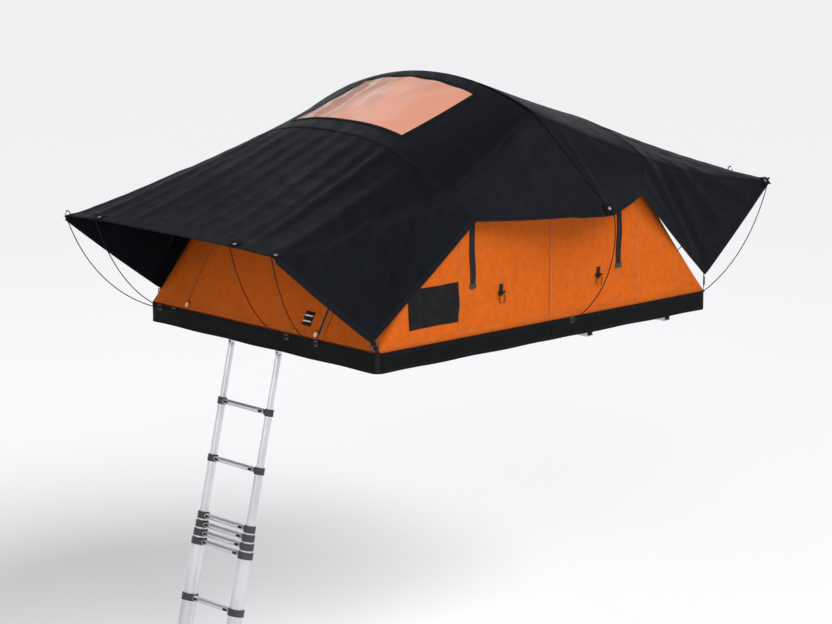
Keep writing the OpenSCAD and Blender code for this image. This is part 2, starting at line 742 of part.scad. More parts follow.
module ladder_section(k) {
    high = tube_high(k);
    low = tube_low(k);
    color(bare_metal) both_tubes() translate([0, 0, low]) difference() {
        cylinder(h = high - low, d = tube_d(k));
        translate([0, 0, -1]) cylinder(h = high - low + 2, d = tube_d(k) - 2 * tube_wall);
    }
    if (k < SECTIONS) color(bare_metal) rung(k);
}

function collar_d(k) = tube_d(k) + 2 * collar_wall;
function collar_z(k) = rung_z(k) - collar_height + 6;
function rung_mid_z(k) = collar_z(k) + collar_height / 2;

// Rung: a flat hollow bar with a ribbed tread between the collars
module rung(k) {
    run = ladder_width - collar_d(k) - 2 * side_gap;
    translate([-run / 2, 0, rung_mid_z(k)]) rotate([90, 0, 90]) linear_extrude(run)
        difference() {
            rung_outline(0);
            rung_outline(rung_wall);
        }
    // Lips above and below each thumb button, as long as its travel
    for (side = [-1, 1]) for (level = [-1, 1])
        translate([side * (button_x(k) + (button_width - button_travel) / 2),
            -rung_depth / 2, rung_mid_z(k) + level * (button_tall / 2 + side_gap + 1.25)])
            cube([button_width + button_travel + 2, 8, 2.5], center = true);
}

module rung_outline(inset) {
    r = rung_height / 2 - inset;
    reach = (rung_depth - rung_height) / 2;
    translate([-reach, -r]) square([2 * reach, 2 * r]);
    for (end = [-1, 1]) translate([end * reach, 0]) circle(r);
}

// Collar: grips its own tube below a lip, and guides the next smaller tube through its mouth
module ladder_collars(k) {
    lip = 6;
    guide_d = tube_d(k + 1) + 2 * side_gap;
    color(collar_grey) both_tubes() translate([0, 0, collar_z(k)]) difference() {
        union() {
            cylinder(h = collar_height - 2, d = collar_d(k));
            cylinder(h = collar_height, d = collar_d(k) - 4);
        }
        translate([0, 0, -1])
            cylinder(h = collar_height - lip + 1, d = tube_d(k) + 2 * turn_clear);
        cylinder(h = collar_height + 1, d = guide_d);
    }
}

button_width = 20;
button_tall = 12;
function button_x(k) = (ladder_width - collar_d(k)) / 2 - side_gap - 14 - button_width;

// Thumb button in front of the rung's end, with a finger rib
module ladder_button(k, side) {
    deep = 7;
    rib = 3;
    x = side > 0 ? button_x(k) : -button_x(k) - button_width;
    front = -rung_depth / 2 - side_gap;
    color([0.06, 0.06, 0.07]) translate([x, front, rung_mid_z(k)]) {
        translate([0, -deep, -button_tall / 2]) cube([button_width, deep, button_tall]);
        translate([(button_width - rib) / 2, -deep - rib, -button_tall / 2])
            cube([rib, rib, button_tall]);
    }
}

module ladder_feet() {
    foot_h = 34;
    plug = 24;
    inner = tube_d(1) - 2 * tube_wall - 2 * turn_clear;
    color([0.08, 0.08, 0.09]) both_tubes() translate([0, 0, tube_low(1)]) {
        translate([0, 0, -foot_h + 12]) cylinder(h = foot_h - 12, d = tube_d(1) + 8);
        cylinder(h = plug, d = inner);
    }
}

// Head: an eye on each top tube that turns on the pivot
module ladder_head() {
    width = tube_top - 2 * tube_wall - 2 * turn_clear;
    plug = 40;
    color(collar_grey) both_tubes() difference() {
        union() {
            translate([0, 0, -head_length / 2 - plug]) cylinder(h = plug, d = width);
            translate([0, 0, -head_length / 2]) cylinder(h = head_length / 2, d = tube_top - 2);
            rotate([0, 90, 0]) cylinder(h = 16, d = tube_top - 2, center = true);
        }
        rotate([0, 90, 0]) cylinder(h = 60, d = head_pin + 2 * turn_clear, center = true);
        for (side = [-1, 1]) translate([side * 28, 0, 0]) cube([40, 60, head_length + 1], center = true);
    }
}

bracket_ear = 4;
bracket_half = 8 + side_gap;
module at_ladder_pivots() {
    for (side = [-1, 1])
        translate([ladder_pivot_x, ladder_y + side * ladder_width / 2, ladder_pivot_z]) children();
}

// Brackets under the frame: a plate with two ears for each pivot
module ladder_brackets() {
    ear_w = 40;
    color(bare_metal) at_ladder_pivots() difference() {
        union() {
            translate([-ear_w / 2 - 8, -28, ladder_drop - 4]) cube([ear_w + 24, 56, 4]);
            for (side = [-1, 1])
                translate([0, side * (bracket_half + bracket_ear / 2) + bracket_ear / 2, 0])
                    rotate([90, 0, 0]) linear_extrude(bracket_ear) {
                        circle(d = head_pin + 12);
                        translate([-(head_pin + 12) / 2, 0])
                            square([head_pin + 12, ladder_drop - 2]);
                    }
        }
        rotate([90, 0, 0]) cylinder(h = 80, d = head_pin + 0.02, center = true);
    }
}

module ladder_pivots() {
    reach = bracket_half + bracket_ear + 1;
    color(bare_metal) at_ladder_pivots() rotate([90, 0, 0]) {
        cylinder(h = 2 * reach, d = head_pin, center = true);
        for (side = [-1, 1]) translate([0, 0, side * (reach + 1.5)])
            cylinder(h = 3, d = head_pin + 6, center = true);
    }
}

// One module for each named sub-part of the two base halves
module fixed_frame() { color(bare_metal) fixed_side() base_frame(); }
module fold_frame() { color(bare_metal) fold_side() base_frame(); }
module fixed_panel() { color([0.55, 0.56, 0.58]) fixed_side() base_panel(); }
module fold_panel() { color([0.55, 0.56, 0.58]) fold_side() base_panel(); }
module fixed_hinge_plates() {
    color(bare_metal) fixed_side() hinge_plate(fixed_plate_y, 24, false);
}
module fold_hinge_plates() {
    color(bare_metal) fold_side() hinge_plate(fold_plate_y, plate_thick + 3, true);
}
module fixed_mattress() { color([0.45, 0.45, 0.47]) fixed_side() mattress(); }
module fold_mattress() { color([0.45, 0.45, 0.47]) fold_side() mattress(); }
module fixed_inner_tent() { color(tent_orange) fixed_side() inner_tent(); }
module fold_inner_tent() { color(tent_orange) fold_side() inner_tent(); }
module fixed_skirt() { color(skirt_black) fixed_side() skirt(); }
module fold_skirt() { color(skirt_black) fold_side() skirt(); }

fixed_frame();
fixed_panel();
mounting_rails();
fixed_hinge_plates();
hinge_pins();
fixed_mattress();
fixed_inner_tent();
fixed_flysheet();
fixed_skirt();
fixed_rods();
fixed_rod_sockets();
fixed_straps();
fold_frame();
fold_panel();
fold_hinge_plates();
fold_mattress();
fold_inner_tent();
fold_flysheet();
skylight();
fold_skirt();
fold_rods();
fold_rod_sockets();
fold_straps();
rear_bow();
middle_bow();
front_bow();
ladder_brackets();
ladder_pivots();
ladder_frame() ladder_head();
ladder_frame() ladder_feet();
for (k = [1:SECTIONS]) ladder_frame() ladder_section(k);
for (k = [1:RUNGS]) ladder_frame() ladder_collars(k);
for (k = [1:RUNGS]) ladder_frame() ladder_button(k, -1);
for (k = [1:RUNGS]) ladder_frame() ladder_button(k, 1);
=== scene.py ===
"""Visual model of a fold-out roof top tent, in the frame shared with its solid model."""

import logging
import math
from dataclasses import dataclass
from enum import Enum, IntEnum
from typing import ClassVar

import bpy
import numpy as np
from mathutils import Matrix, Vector


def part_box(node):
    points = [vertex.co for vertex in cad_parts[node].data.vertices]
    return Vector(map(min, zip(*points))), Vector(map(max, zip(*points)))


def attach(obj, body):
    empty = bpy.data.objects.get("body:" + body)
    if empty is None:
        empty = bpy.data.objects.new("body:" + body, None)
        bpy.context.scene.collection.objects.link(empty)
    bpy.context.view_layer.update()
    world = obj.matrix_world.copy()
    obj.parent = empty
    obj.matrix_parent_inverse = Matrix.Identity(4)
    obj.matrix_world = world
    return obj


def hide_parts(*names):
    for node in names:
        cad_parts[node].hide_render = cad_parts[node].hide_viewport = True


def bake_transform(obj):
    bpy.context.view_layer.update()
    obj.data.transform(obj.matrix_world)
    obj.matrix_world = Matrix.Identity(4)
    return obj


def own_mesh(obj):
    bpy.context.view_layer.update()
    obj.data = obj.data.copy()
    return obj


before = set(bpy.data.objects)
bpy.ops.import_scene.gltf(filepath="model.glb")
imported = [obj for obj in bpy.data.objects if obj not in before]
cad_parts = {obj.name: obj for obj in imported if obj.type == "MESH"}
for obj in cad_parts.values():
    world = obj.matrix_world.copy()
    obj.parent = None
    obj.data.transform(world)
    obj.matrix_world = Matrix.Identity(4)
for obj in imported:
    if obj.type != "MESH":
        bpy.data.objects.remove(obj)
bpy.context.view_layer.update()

LOG = logging.getLogger("roof_tent")
Array = np.ndarray
Pair = tuple[float, float]
Point = tuple[float, float, float]

# Place of the tent's own frame: the hinge line, and the skirt's upper edge
HINGE_X = -0.6
ROW_Z = 0.128
# A point on the hinge pins
UP = (0.0, 0.0, 1.0)
# How far trim is sunk into the cloth that it lies on
SINK = 0.0004
# Edges up to this angle in degrees are shaded smooth
SMOOTH_ANGLE = 50.0


class Half(Enum):
    """The half of the tent a piece belongs to, with the sign of x counted from the hinge."""

    FIXED = 1.0
    FOLD = -1.0

    @property
    def label(self) -> str:
        """Short word used in piece names."""
        return self.name.lower()

    @property
    def base(self) -> str:
        """Name of the base body of this half."""
        return f"{self.label}_base"

    @property
    def bow(self) -> str:
        """Name of the bow body that carries the outer cloth of this half."""
        return "rear_bow" if self is Half.FIXED else "front_bow"


class Plane(Enum):
    """The plane in which a fold of the cloth is laid out."""

    PLAN = (0, 1)
    SIDE = (0, 2)
    END = (1, 2)


class Panel(Enum):
    """The panels of the flysheet: from the ridge to the bow, and from there to the awning edge."""

    MID = "mid"
    OUTER = "outer"


class FlySlot(IntEnum):
    """Material numbers of the flysheet's pieces."""

    CLOTH = 0
    WELT = 1
    METAL = 2
    HOOK = 3


class TentSlot(IntEnum):
    """Material numbers of the inner tent's pieces."""

    CANVAS = 0
    WELT = 1
    ZIP = 2
    WEBBING = 3
    PATCH = 4
    CORE = 5


def row_point(x: float, y: float, z: float) -> Array:
    """Move a point from the tent's own frame to the shared one."""
    return np.array([x + HINGE_X, y, z + ROW_Z])


def mix(a: Array | float, b: Array | float, t: Array | float) -> Array | float:
    """Blend two values by the share of the second one."""
    return a + (b - a) * t


def unit(vectors: Array) -> Array:
    """Vectors along the last axis, brought to length 1."""
    return vectors / np.maximum(np.linalg.norm(vectors, axis=-1, keepdims=True), 1e-9)


def arc_lengths(path: Array) -> Array:
    """Length along a line of points, from the first one to each."""
    steps = np.linalg.norm(np.diff(path, axis=0), axis=1)
    return np.concatenate([[0.0], np.cumsum(steps)])


def grid_normals(points: Array) -> Array:
    """Unit normals of a grid of points, rows by columns."""
    return unit(np.cross(np.gradient(points, axis=0), np.gradient(points, axis=1)))


class Shader:
    """A node material under construction round one surface shader."""

    def __init__(self, name: str) -> None:
        """Start an empty material.

        Args:
            name: The material's name.
        """
        self.material = bpy.data.materials.new(name)
        self.material.use_nodes = True
        self.tree = self.material.node_tree
        self.surface = self.tree.nodes["Principled BSDF"]

    def node(self, kind: str, inputs: dict | None = None, **settings: object) -> bpy.types.Node:
        """Add a node.

        Args:
            kind: The node's type.
            inputs: Constants or sockets for its inputs, by name or number.
            settings: Attributes of the node.

        Returns:
            The new node.
        """
        made = self.tree.nodes.new(kind)
        for key, value in settings.items():
            setattr(made, key, value)
        for key, value in (inputs or {}).items():
            self.feed(made.inputs[key], value)
        return made

    def feed(self, socket: bpy.types.NodeSocket, value: object) -> None:
        """Set or link an input.

        Args:
            socket: The input.
            value: A constant, or the output to link.
        """
        if isinstance(value, bpy.types.NodeSocket):
            self.tree.links.new(value, socket)
        else:
            socket.default_value = value

    def set(self, values: dict) -> None:
        """Set or link inputs of the surface shader, by name."""
        for key, value in values.items():
            self.feed(self.surface.inputs[key], value)

    def coordinate(self, kind: str = "Object") -> bpy.types.NodeSocket:
        """A texture coordinate, by the name of its output."""
        return self.node("ShaderNodeTexCoord").outputs[kind]

    def flat(self) -> list[bpy.types.NodeSocket]:
        """The two coordinates on the flat cloth."""
        return self.node("ShaderNodeSeparateXYZ", {0: self.coordinate("UV")}).outputs[:2]

    def math(self, operation: str, a: object, b: object = 0.0) -> bpy.types.NodeSocket:
        """A calculation on two values or sockets."""
        return self.node("ShaderNodeMath", {0: a, 1: b}, operation=operation).outputs[0]

    def noise(self, scale: float, detail: float, kind: str = "Object") -> bpy.types.NodeSocket:
        """A soft noise of a scale and detail, laid on a coordinate."""
        inputs = {"Vector": self.coordinate(kind), "Scale": scale, "Detail": detail}
        return self.node("ShaderNodeTexNoise", inputs).outputs[0]

    def ramp(self, value: bpy.types.NodeSocket, low: tuple, high: tuple) -> bpy.types.NodeSocket:
        """Colours laid along a value.

        Args:
            value: The value's socket.
            low: Position and colour of the first stop.
            high: Position and colour of the last stop.

        Returns:
            The colour's socket.
        """
        made = self.node("ShaderNodeValToRGB", {0: value})
        for step, (place, colour) in zip(made.color_ramp.elements, (low, high)):
            step.position, step.color = place, (*colour, 1.0)
        return made.outputs[0]

    def blend(self, share: object, a: object, colour: Point) -> bpy.types.NodeSocket:
        """Mix a colour into another by its share."""
        inputs = {0: share, 6: a, 7: (*colour, 1.0)}
        return self.node("ShaderNodeMix", inputs, data_type="RGBA").outputs[2]

    def remap(self, value: bpy.types.NodeSocket, low: float, high: float) -> bpy.types.NodeSocket:
        """Spread the middle of a value's range over another range."""
        inputs = {0: value, 1: 0.3, 2: 0.7, 3: low, 4: high}
        return self.node("ShaderNodeMapRange", inputs).outputs[0]

    def bump(self, heights: list) -> bpy.types.NodeSocket:
        """Stack bumps on each other.

        Args:
            heights: Pairs of height socket and depth in metres.

        Returns:
            The normal's socket.
        """
        normal = None
        for height, depth in heights:
            made = self.node("ShaderNodeBump", {"Height": height, "Distance": depth, "Strength": 1.0})
            if normal is not None:
                self.feed(made.inputs["Normal"], normal)
            normal = made.outputs[0]
        return normal


@dataclass(frozen=True)
class ClothFinish:
    """A woven cloth: two shades, weave, creasing and an optional pair of stitch rows."""

    name: str
    light: Point
    dark: Point
    roughness: float = 0.6
    sheen: float = 0.0
    weave: float = 0.005
    weave_depth: float = 0.0002
    crease_depth: float = 0.001
    thread: Point | None = None
    gloss: float = 0.1
    stitch: ClassVar[float] = 0.009

    def material(self) -> bpy.types.Material:
        """Build the node material.

        Returns:
            The material.
        """
        shader = Shader(self.name)
        flat = shader.flat()
        turns = 2 * math.pi / self.weave
        warp, weft = (shader.math("SINE", shader.math("MULTIPLY", axis, turns)) for axis in flat)
        weave = shader.math("MULTIPLY", warp, weft)
        colour = shader.ramp(shader.noise(2.2, 4.0), (0.3, self.dark), (0.7, self.light))
        worn = shader.remap(shader.noise(30.0, 3.0), 0.0, 0.4)
        colour = shader.blend(worn, colour, tuple(1.35 * c + 0.002 for c in self.light))
        if self.thread is not None:
            colour = shader.blend(self.stitches(shader, flat), colour, self.thread)
        creases = shader.noise(9.0, 5.0)
        normal = shader.bump([(creases, self.crease_depth), (weave, self.weave_depth)])
        rough = shader.remap(shader.noise(14.0, 2.0), self.roughness - 0.07, self.roughness + 0.07)
        shader.set({"Base Color": colour, "Roughness": rough, "Normal": normal})
        shader.set({"Sheen Weight": self.sheen, "Sheen Roughness": 0.4, "Specular IOR Level": self.gloss})
        return shader.material

    def stitches(self, shader: Shader, flat: list[bpy.types.NodeSocket]) -> bpy.types.NodeSocket:
        """Two rows of dashes along a strip.

        Args:
            shader: The material under construction.
            flat: Coordinates along the strip in metres and across it from 0 to 1.

        Returns:
            Socket that is 1 on the thread.
        """
        along = shader.math("FRACT", shader.math("DIVIDE", flat[0], self.stitch))
        dash = shader.math("LESS_THAN", along, 0.62)
        off = shader.math("ABSOLUTE", shader.math("SUBTRACT", flat[1], 0.5))
        away = shader.math("ABSOLUTE", shader.math("SUBTRACT", off, 0.3))
        return shader.math("MULTIPLY", dash, shader.math("LESS_THAN", away, 0.045))


@dataclass(frozen=True)
class MetalFinish:
    """A drawn or rolled metal with a fine grain and handling marks."""

    name: str
    colour: Point
    roughness: float = 0.35
    grain: float = 260.0

    def material(self) -> bpy.types.Material:
        """Build the node material.

        Returns:
            The material.
        """
        shader = Shader(self.name)
        dark = tuple(0.82 * c for c in self.colour)
        colour = shader.ramp(shader.noise(5.0, 4.0), (0.3, dark), (0.7, self.colour))
        rough = shader.remap(shader.noise(24.0, 5.0), self.roughness - 0.08, self.roughness + 0.12)
        normal = shader.bump([(shader.noise(self.grain, 2.0), 0.00012)])
        shader.set({"Base Color": colour, "Metallic": 1.0, "Roughness": rough, "Normal": normal})
        return shader.material


@dataclass(frozen=True)
class PlasticFinish:
    """A moulded plastic, rubber, coating or board with a fine skin texture."""

    name: str
    colour: Point
    roughness: float = 0.5
    texture: float = 400.0
    depth: float = 0.0002
    gloss: float = 0.35

    def material(self) -> bpy.types.Material:
        """Build the node material.

        Returns:
            The material.
        """
        shader = Shader(self.name)
        worn = tuple(min(1.0, 1.35 * c + 0.004) for c in self.colour)
        colour = shader.ramp(shader.noise(18.0, 5.0), (0.45, self.colour), (0.8, worn))
        rough = shader.remap(shader.noise(40.0, 3.0), self.roughness - 0.08, self.roughness + 0.08)
        normal = shader.bump([(shader.noise(self.texture, 1.0), self.depth)])
        shader.set({"Base Color": colour, "Roughness": rough, "Normal": normal})
        shader.set({"Specular IOR Level": self.gloss})
        return shader.material


@dataclass(frozen=True)
class FilmFinish:
    """A clear, slightly milky window film with soft waves, and painted reflection streaks with painted shade
    between them on its far side.
    """

    name: str
    colour: Point
    # Milky tone of the film, and the colour of the painted reflection streaks
    milk_and_gleam: Point = (0.93, 0.86, 0.83)
    clearness: float = 0.5
    roughness: float = 0.25

    def material(self) -> bpy.types.Material:
        """Build the node material.

        Returns:
            The material.
        """
        shader = Shader(self.name)
        flat = shader.flat()
        # Painted reflections: light streaks over the far side of the film, with painted shade in the gaps
        # between them
        sway = shader.math("MULTIPLY", shader.noise(5.0, 2.0, "UV"), 9.0)
        stripes, slant = (shader.math("MULTIPLY", axis, k) for axis, k in zip(flat, (46.0, 9.0)))
        gleam_streak = shader.math("SINE", shader.math("ADD", shader.math("SUBTRACT", stripes, slant), sway))
        side = shader.ramp(flat[0], (0.5, (0.0, 0.0, 0.0)), (0.82, (1.0, 1.0, 1.0)))
        pale = shader.math("MULTIPLY", side, shader.remap(gleam_streak, -0.6, 0.9))
        painted_shade = shader.math("MULTIPLY", side, shader.remap(gleam_streak, 0.55, -0.55))
        colour = shader.ramp(shader.noise(3.0, 2.0), (0.55, self.colour), (1.0, self.milk_and_gleam))
        # Painted shade between the streaks, then painted reflection along them
        colour = shader.blend(painted_shade, colour, tuple(0.45 * c for c in self.colour))
        colour = shader.blend(pale, colour, self.milk_and_gleam)
        alpha = shader.remap(shader.noise(4.0, 3.0), 0.98 - self.clearness, 1.06 - self.clearness)
        normal = shader.bump([(shader.noise(6.0, 2.0), 0.005)])
        shader.set({"Base Color": colour, "Alpha": alpha, "Normal": normal})
        shader.set({"Roughness": self.roughness, "Specular IOR Level": 0.25})
        return shader.material


class Finishes:
    """All finishes of the tent, built once."""

    def __init__(self) -> None:
        """Build every material."""
        self.sew_cloths()
        self.film = FilmFinish("clear_film", (0.96, 0.46, 0.31)).material()
        self.eyelet = MetalFinish("eyelet_metal", (0.62, 0.62, 0.64), 0.3).material()
        self.frame = MetalFinish("frame_aluminium", (0.60, 0.61, 0.63), 0.42).material()
        self.ladder = MetalFinish("ladder_aluminium", (0.72, 0.73, 0.75), 0.34).material()
        self.bow = MetalFinish("bow_aluminium", (0.66, 0.67, 0.69), 0.36).material()
        self.pin = MetalFinish("pin_steel", (0.5, 0.5, 0.52), 0.25).material()
        self.patch = PlasticFinish("label_patch", (0.007, 0.007, 0.0075), 0.6, 160.0, gloss=0.08).material()
        self.core = PlasticFinish("eyelet_core", (0.72, 0.66, 0.58)).material()
        self.rod = PlasticFinish("rod_coating", (0.005, 0.005, 0.006), 0.6, 300.0, 0.0001, 0.08).material()
        self.board = PlasticFinish("floor_panel", (0.19, 0.19, 0.2), 0.6, 120.0, 0.0004).material()
        self.socket = PlasticFinish("socket_plastic", (0.02, 0.02, 0.021)).material()
        self.collar = PlasticFinish("collar_plastic", (0.035, 0.037, 0.04), 0.45).material()
        self.button = PlasticFinish("button_plastic", (0.012, 0.012, 0.013), 0.4).material()
        self.rubber = PlasticFinish("foot_rubber", (0.015, 0.015, 0.016), 0.75, 220.0, 0.0005).material()
        plain = Shader("studio_floor")
        plain.set({"Base Color": (0.96, 0.96, 0.97, 1.0), "Roughness": 0.9, "Specular IOR Level": 0.1})
        plain.set({"Emission Color": (1.0, 1.0, 1.0, 1.0), "Emission Strength": 0.06})
        self.floor = plain.material

    def sew_cloths(self) -> None:
        """Build the materials of the sheets, their trim and the mattress cover."""
        thread = (0.02, 0.021, 0.023)
        self.fly = ClothFinish(
            "fly_cloth", (0.0048, 0.0058, 0.0090), (0.0032, 0.0039, 0.0062),
            roughness=0.46, weave=0.006, crease_depth=0.0007, gloss=0.035,
        ).material()
        self.fly_welt = ClothFinish(
            "fly_welt", (0.0068, 0.0074, 0.0098), (0.0048, 0.0052, 0.007), thread=thread, gloss=0.03
        ).material()
        self.orange = ClothFinish(
            "orange_canvas", (0.52, 0.099, 0.006), (0.475, 0.087, 0.005),
            roughness=0.8, weave_depth=0.0004, crease_depth=0.0025,
        ).material()
        self.orange_welt = ClothFinish(
            "orange_welt", (0.47, 0.088, 0.006), (0.4, 0.073, 0.005),
            roughness=0.75, weave=0.004, weave_depth=0.0003, thread=(0.7, 0.3, 0.1),
        ).material()
        self.skirt = ClothFinish(
            "skirt_cloth", (0.0036, 0.0041, 0.0042), (0.0027, 0.003, 0.0031),
            roughness=0.5, weave=0.006, crease_depth=0.002, gloss=0.045,
        ).material()
        self.webbing = ClothFinish(
            "webbing", (0.012, 0.012, 0.013), (0.008, 0.008, 0.009),
            roughness=0.7, sheen=0.05, weave=0.003, weave_depth=0.0006, crease_depth=0.0005, thread=thread,
        ).material()
        self.zip = ClothFinish(
            "zip_tape", (0.03, 0.028, 0.03), (0.011, 0.012, 0.014), roughness=0.55, sheen=0.1,
            weave=0.0045, weave_depth=0.0012, crease_depth=0.0002, thread=(0.12, 0.11, 0.11),
        ).material()
        self.mattress = ClothFinish(
            "mattress_cover", (0.2, 0.205, 0.215), (0.15, 0.155, 0.165),
            roughness=0.85, sheen=0.35, weave_depth=0.0005, crease_depth=0.002,
        ).material()


class MeshMaker:
    """Collects the points and faces of one visual piece."""

    def __init__(self) -> None:
        """Start an empty piece."""
        self.points: list[Array] = []
        self.flat: list[Array] = []
        self.faces: list[tuple[int, ...]] = []
        self.slots: list[int] = []
        self.count = 0

    def add(self, points: Array, flat: Array) -> int:
        """Add points.

        Args:
            points: Points, with their three numbers along the last axis.
            flat: Their flat coordinates, two numbers each.

        Returns:
            Number of the first one.
        """
        first = self.count
        self.points.append(np.asarray(points, float).reshape(-1, 3))
        self.flat.append(np.asarray(flat, float).reshape(-1, 2))
        self.count += len(self.points[-1])
        return first

    def face(self, corners: tuple[int, ...], slot: int) -> None:
        """Add a face by the numbers of its points, with its material number."""
        self.faces.append(corners)
        self.slots.append(slot)

    def shell(self, outer: Array, inner: Array, flat: Array, slot: int, keep: Array | None = None) -> None:
        """Add two grids of points as the faces of one body, with the rim between them.

        Args:
            outer: Points of the outer face, rows, columns, 3.
            inner: Points of the inner face.
            flat: Flat coordinates of both.
            slot: Material number.
            keep: Which cells of the grid exist, or all.
        """
        rows, columns = outer.shape[:2]
        top, low = self.add(outer, flat), self.add(inner, flat)
        edges: dict[tuple[int, int], None] = {}
        for i in range(rows - 1):
            for j in range(columns - 1):
                if keep is not None and not keep[i, j]:
                    continue
                a, b = i * columns + j, (i + 1) * columns + j
                quad = (a, b, b + 1, a + 1)
                self.face(tuple(top + k for k in quad), slot)
                self.face(tuple(low + k for k in reversed(quad)), slot)
                edges |= dict.fromkeys(zip(quad, quad[1:] + quad[:1]))
        for a, b in edges:
            if (b, a) not in edges:
                self.face((top + a, low + a, low + b, top + b), slot)

    def cloth(self, grid: Array, thickness: float, slot: int = 0, keep: Array | None = None) -> None:
        """Add a sheet with its two faces and its rim, from its outer face.

        Args:
            grid: Points of the outer face, rows, columns, 3.
            thickness: Thickness of the cloth.
            slot: Material number.
            keep: Which cells of the grid exist, or all.
        """
        across = np.array([arc_lengths(row) for row in grid])
        along = np.stack([arc_lengths(grid[:, j]) for j in range(grid.shape[1])], axis=1)
        inner = grid - thickness * grid_normals(grid)
        self.shell(grid, inner, np.stack([across, along], axis=2), slot, keep)

    def loft(self, rings: Array, flat: Array, slot: int, closed: bool = False) -> None:
        """Join rings of points one after another, and cap the ends.

        Args:
            rings: Points, rings, points of a ring, 3.
            flat: Their flat coordinates.
            slot: Material number.
            closed: Whether the last ring runs back into the first.
        """
        n, m = rings.shape[:2]
        first = self.add(rings, flat)
        for i in range(n if closed else n - 1):
            near, far = first + i * m, first + (i + 1) % n * m
            for k in range(m):
                beside = (k + 1) % m
                self.face((near + k, near + beside, far + beside, far + k), slot)
        if not closed:
            self.face(tuple(first + k for k in reversed(range(m))), slot)
            self.face(tuple(first + (n - 1) * m + k for k in range(m)), slot)

    def ribbon(
        self, path: Array, normals: Array, width: float, height: float, slot: int, lift: float = 0.0
    ) -> None:
        """Add a closed strip lying on a surface.

        Args:
            path: Points along its middle.
            normals: Surface normals at the points.
            width: Width of the strip.
            height: Its height over the surface.
            slot: Material number.
            lift: Height of its underside over the surface.
        """
        tangent = np.gradient(path, axis=0)
        side = unit(np.cross(tangent, normals))
        up = unit(np.cross(side, tangent))
        low, top, length = lift - SINK, lift + height, arc_lengths(path)
        section = ((-0.5, low, 0.0), (-0.46, top, 0.06), (0.46, top, 0.94), (0.5, low, 1.0))
        rings = [path + side * (s * width) + up * h for s, h, _ in section]
        flat = [np.stack([length, np.full(len(path), v)], axis=1) for _, _, v in section]
        self.loft(np.stack(rings, 1), np.stack(flat, 1), slot)

    def tube(self, path: Array, radius: float, slot: int, sides: int = 8, closed: bool = False) -> None:
        """Add a round bar along a line.

        Args:
            path: Points of its middle line.
            radius: Radius of the bar.
            slot: Material number.
            sides: Number of flats round it.
            closed: Whether the line runs back into its start.
        """
        tangent = np.roll(path, -1, 0) - np.roll(path, 1, 0) if closed else np.gradient(path, axis=0)
        tangent = unit(tangent)
        helper = np.eye(3)[np.argmin(np.abs(tangent).max(axis=0))]
        across = unit(np.cross(tangent, helper))
        other = np.cross(tangent, across)
        turn = np.linspace(0, 2 * math.pi, sides, endpoint=False)
        spokes = across[:, None] * np.cos(turn)[:, None] + other[:, None] * np.sin(turn)[:, None]
        flat = np.stack(np.meshgrid(arc_lengths(path), turn * radius, indexing="ij"), axis=2)
        self.loft(path[:, None] + radius * spokes, flat, slot, closed)

    def eyelet(self, centre: Array, normal: Array, radius: float, wire: float, slot: int) -> None:
        """Add a ring lying on a surface.

        Args:
            centre: Middle of the ring.
            normal: Surface normal.
            radius: Radius of the ring's middle line.
            wire: Radius of the wire.
            slot: Material number.
        """
        a = np.cross(normal, UP)
        a = unit(a) if np.linalg.norm(a) > 1e-6 else np.array([1.0, 0.0, 0.0])
        b = np.cross(normal, a)
        turn = np.linspace(0, 2 * math.pi, 28, endpoint=False)[:, None]
        path = centre + radius * (a * np.cos(turn) + b * np.sin(turn)) + normal * wire * 0.4
        self.tube(path, wire, slot, closed=True)

    def plate(self, centre: Array, u: Array, v: Array, thickness: float, slot: int) -> None:
        """Add a thin plate with bevelled edges.

        Args:
            centre: Middle of its underside.
            u: Half of its first side.
            v: Half of its second side.
            thickness: Thickness along the normal of the two sides.
            slot: Material number.
        """
        normal = unit(np.cross(u, v))
        corners = [(-1, -1), (1, -1), (1, 1), (-1, 1)]
        layers = [(1.0, -SINK), (1.0, 0.6 * thickness), (0.97, thickness)]
        points = [[centre + k * (s * u + t * v) + normal * h for s, t in corners] for k, h in layers]
        size = np.array([np.linalg.norm(u), np.linalg.norm(v)])
        self.loft(np.array(points), np.array([corners * size for _ in layers]), slot)

    def make(self, name: str, materials: list[bpy.types.Material], slot: str) -> bpy.types.Object:
        """Turn the collected faces into an object.

        Args:
            name: The object's name.
            materials: Materials by number.
            slot: Not used.

        Returns:
            The object.
        """
        mesh = bpy.data.meshes.new(name)
        mesh.from_pydata(np.concatenate(self.points).tolist(), [], self.faces)
        corners = np.empty(len(mesh.loops), dtype=np.int32)
        mesh.loops.foreach_get("vertex_index", corners)
        layer = mesh.uv_layers.new(name="flat")
        layer.data.foreach_set("uv", np.concatenate(self.flat)[corners].astype(np.float32).ravel())
        for material in materials:
            mesh.materials.append(material)
        mesh.polygons.foreach_set("material_index", np.array(self.slots, dtype=np.int32))
        mesh.update()
        mesh.set_sharp_from_angle(angle=math.radians(SMOOTH_ANGLE))
        made = bpy.data.objects.new(name, mesh)
        bpy.context.scene.collection.objects.link(made)
        LOG.info("%s: %d faces", name, len(self.faces))
        return made


@dataclass(frozen=True)
class Fold:
    """One tension fold in a sheet: a soft ridge with a valley on each side."""

    plane: Plane
    start: Pair
    end: Pair
    height: float
    width: float
    side: int = 0

    def lift(self, points: Array) -> Array:
        """Height of the fold at points of the sheet.

        Args:
            points: Points in the tent's frame, any shape ending in 3.

        Returns:
            The heights.
        """
        flat = points[..., list(self.plane.value)]
        a, b = np.array(self.start), np.array(self.end)
        line = b - a
        along = ((flat - a) @ line) / (line @ line)
        inside = np.clip(along, 0.0, 1.0)
        away = np.linalg.norm(flat - (a + inside[..., None] * line), axis=-1) / self.width
        ends = np.clip(4 * np.minimum(along, 1 - along) + 0.25, 0.0, 1.0)
        shape = (1 - 1.2 * away**2) * np.exp(-(away**2)) * ends * ends * (3 - 2 * ends)
        if self.side:
            shape = shape * (np.sign(points[..., 1]) == self.side)
        return self.height * shape


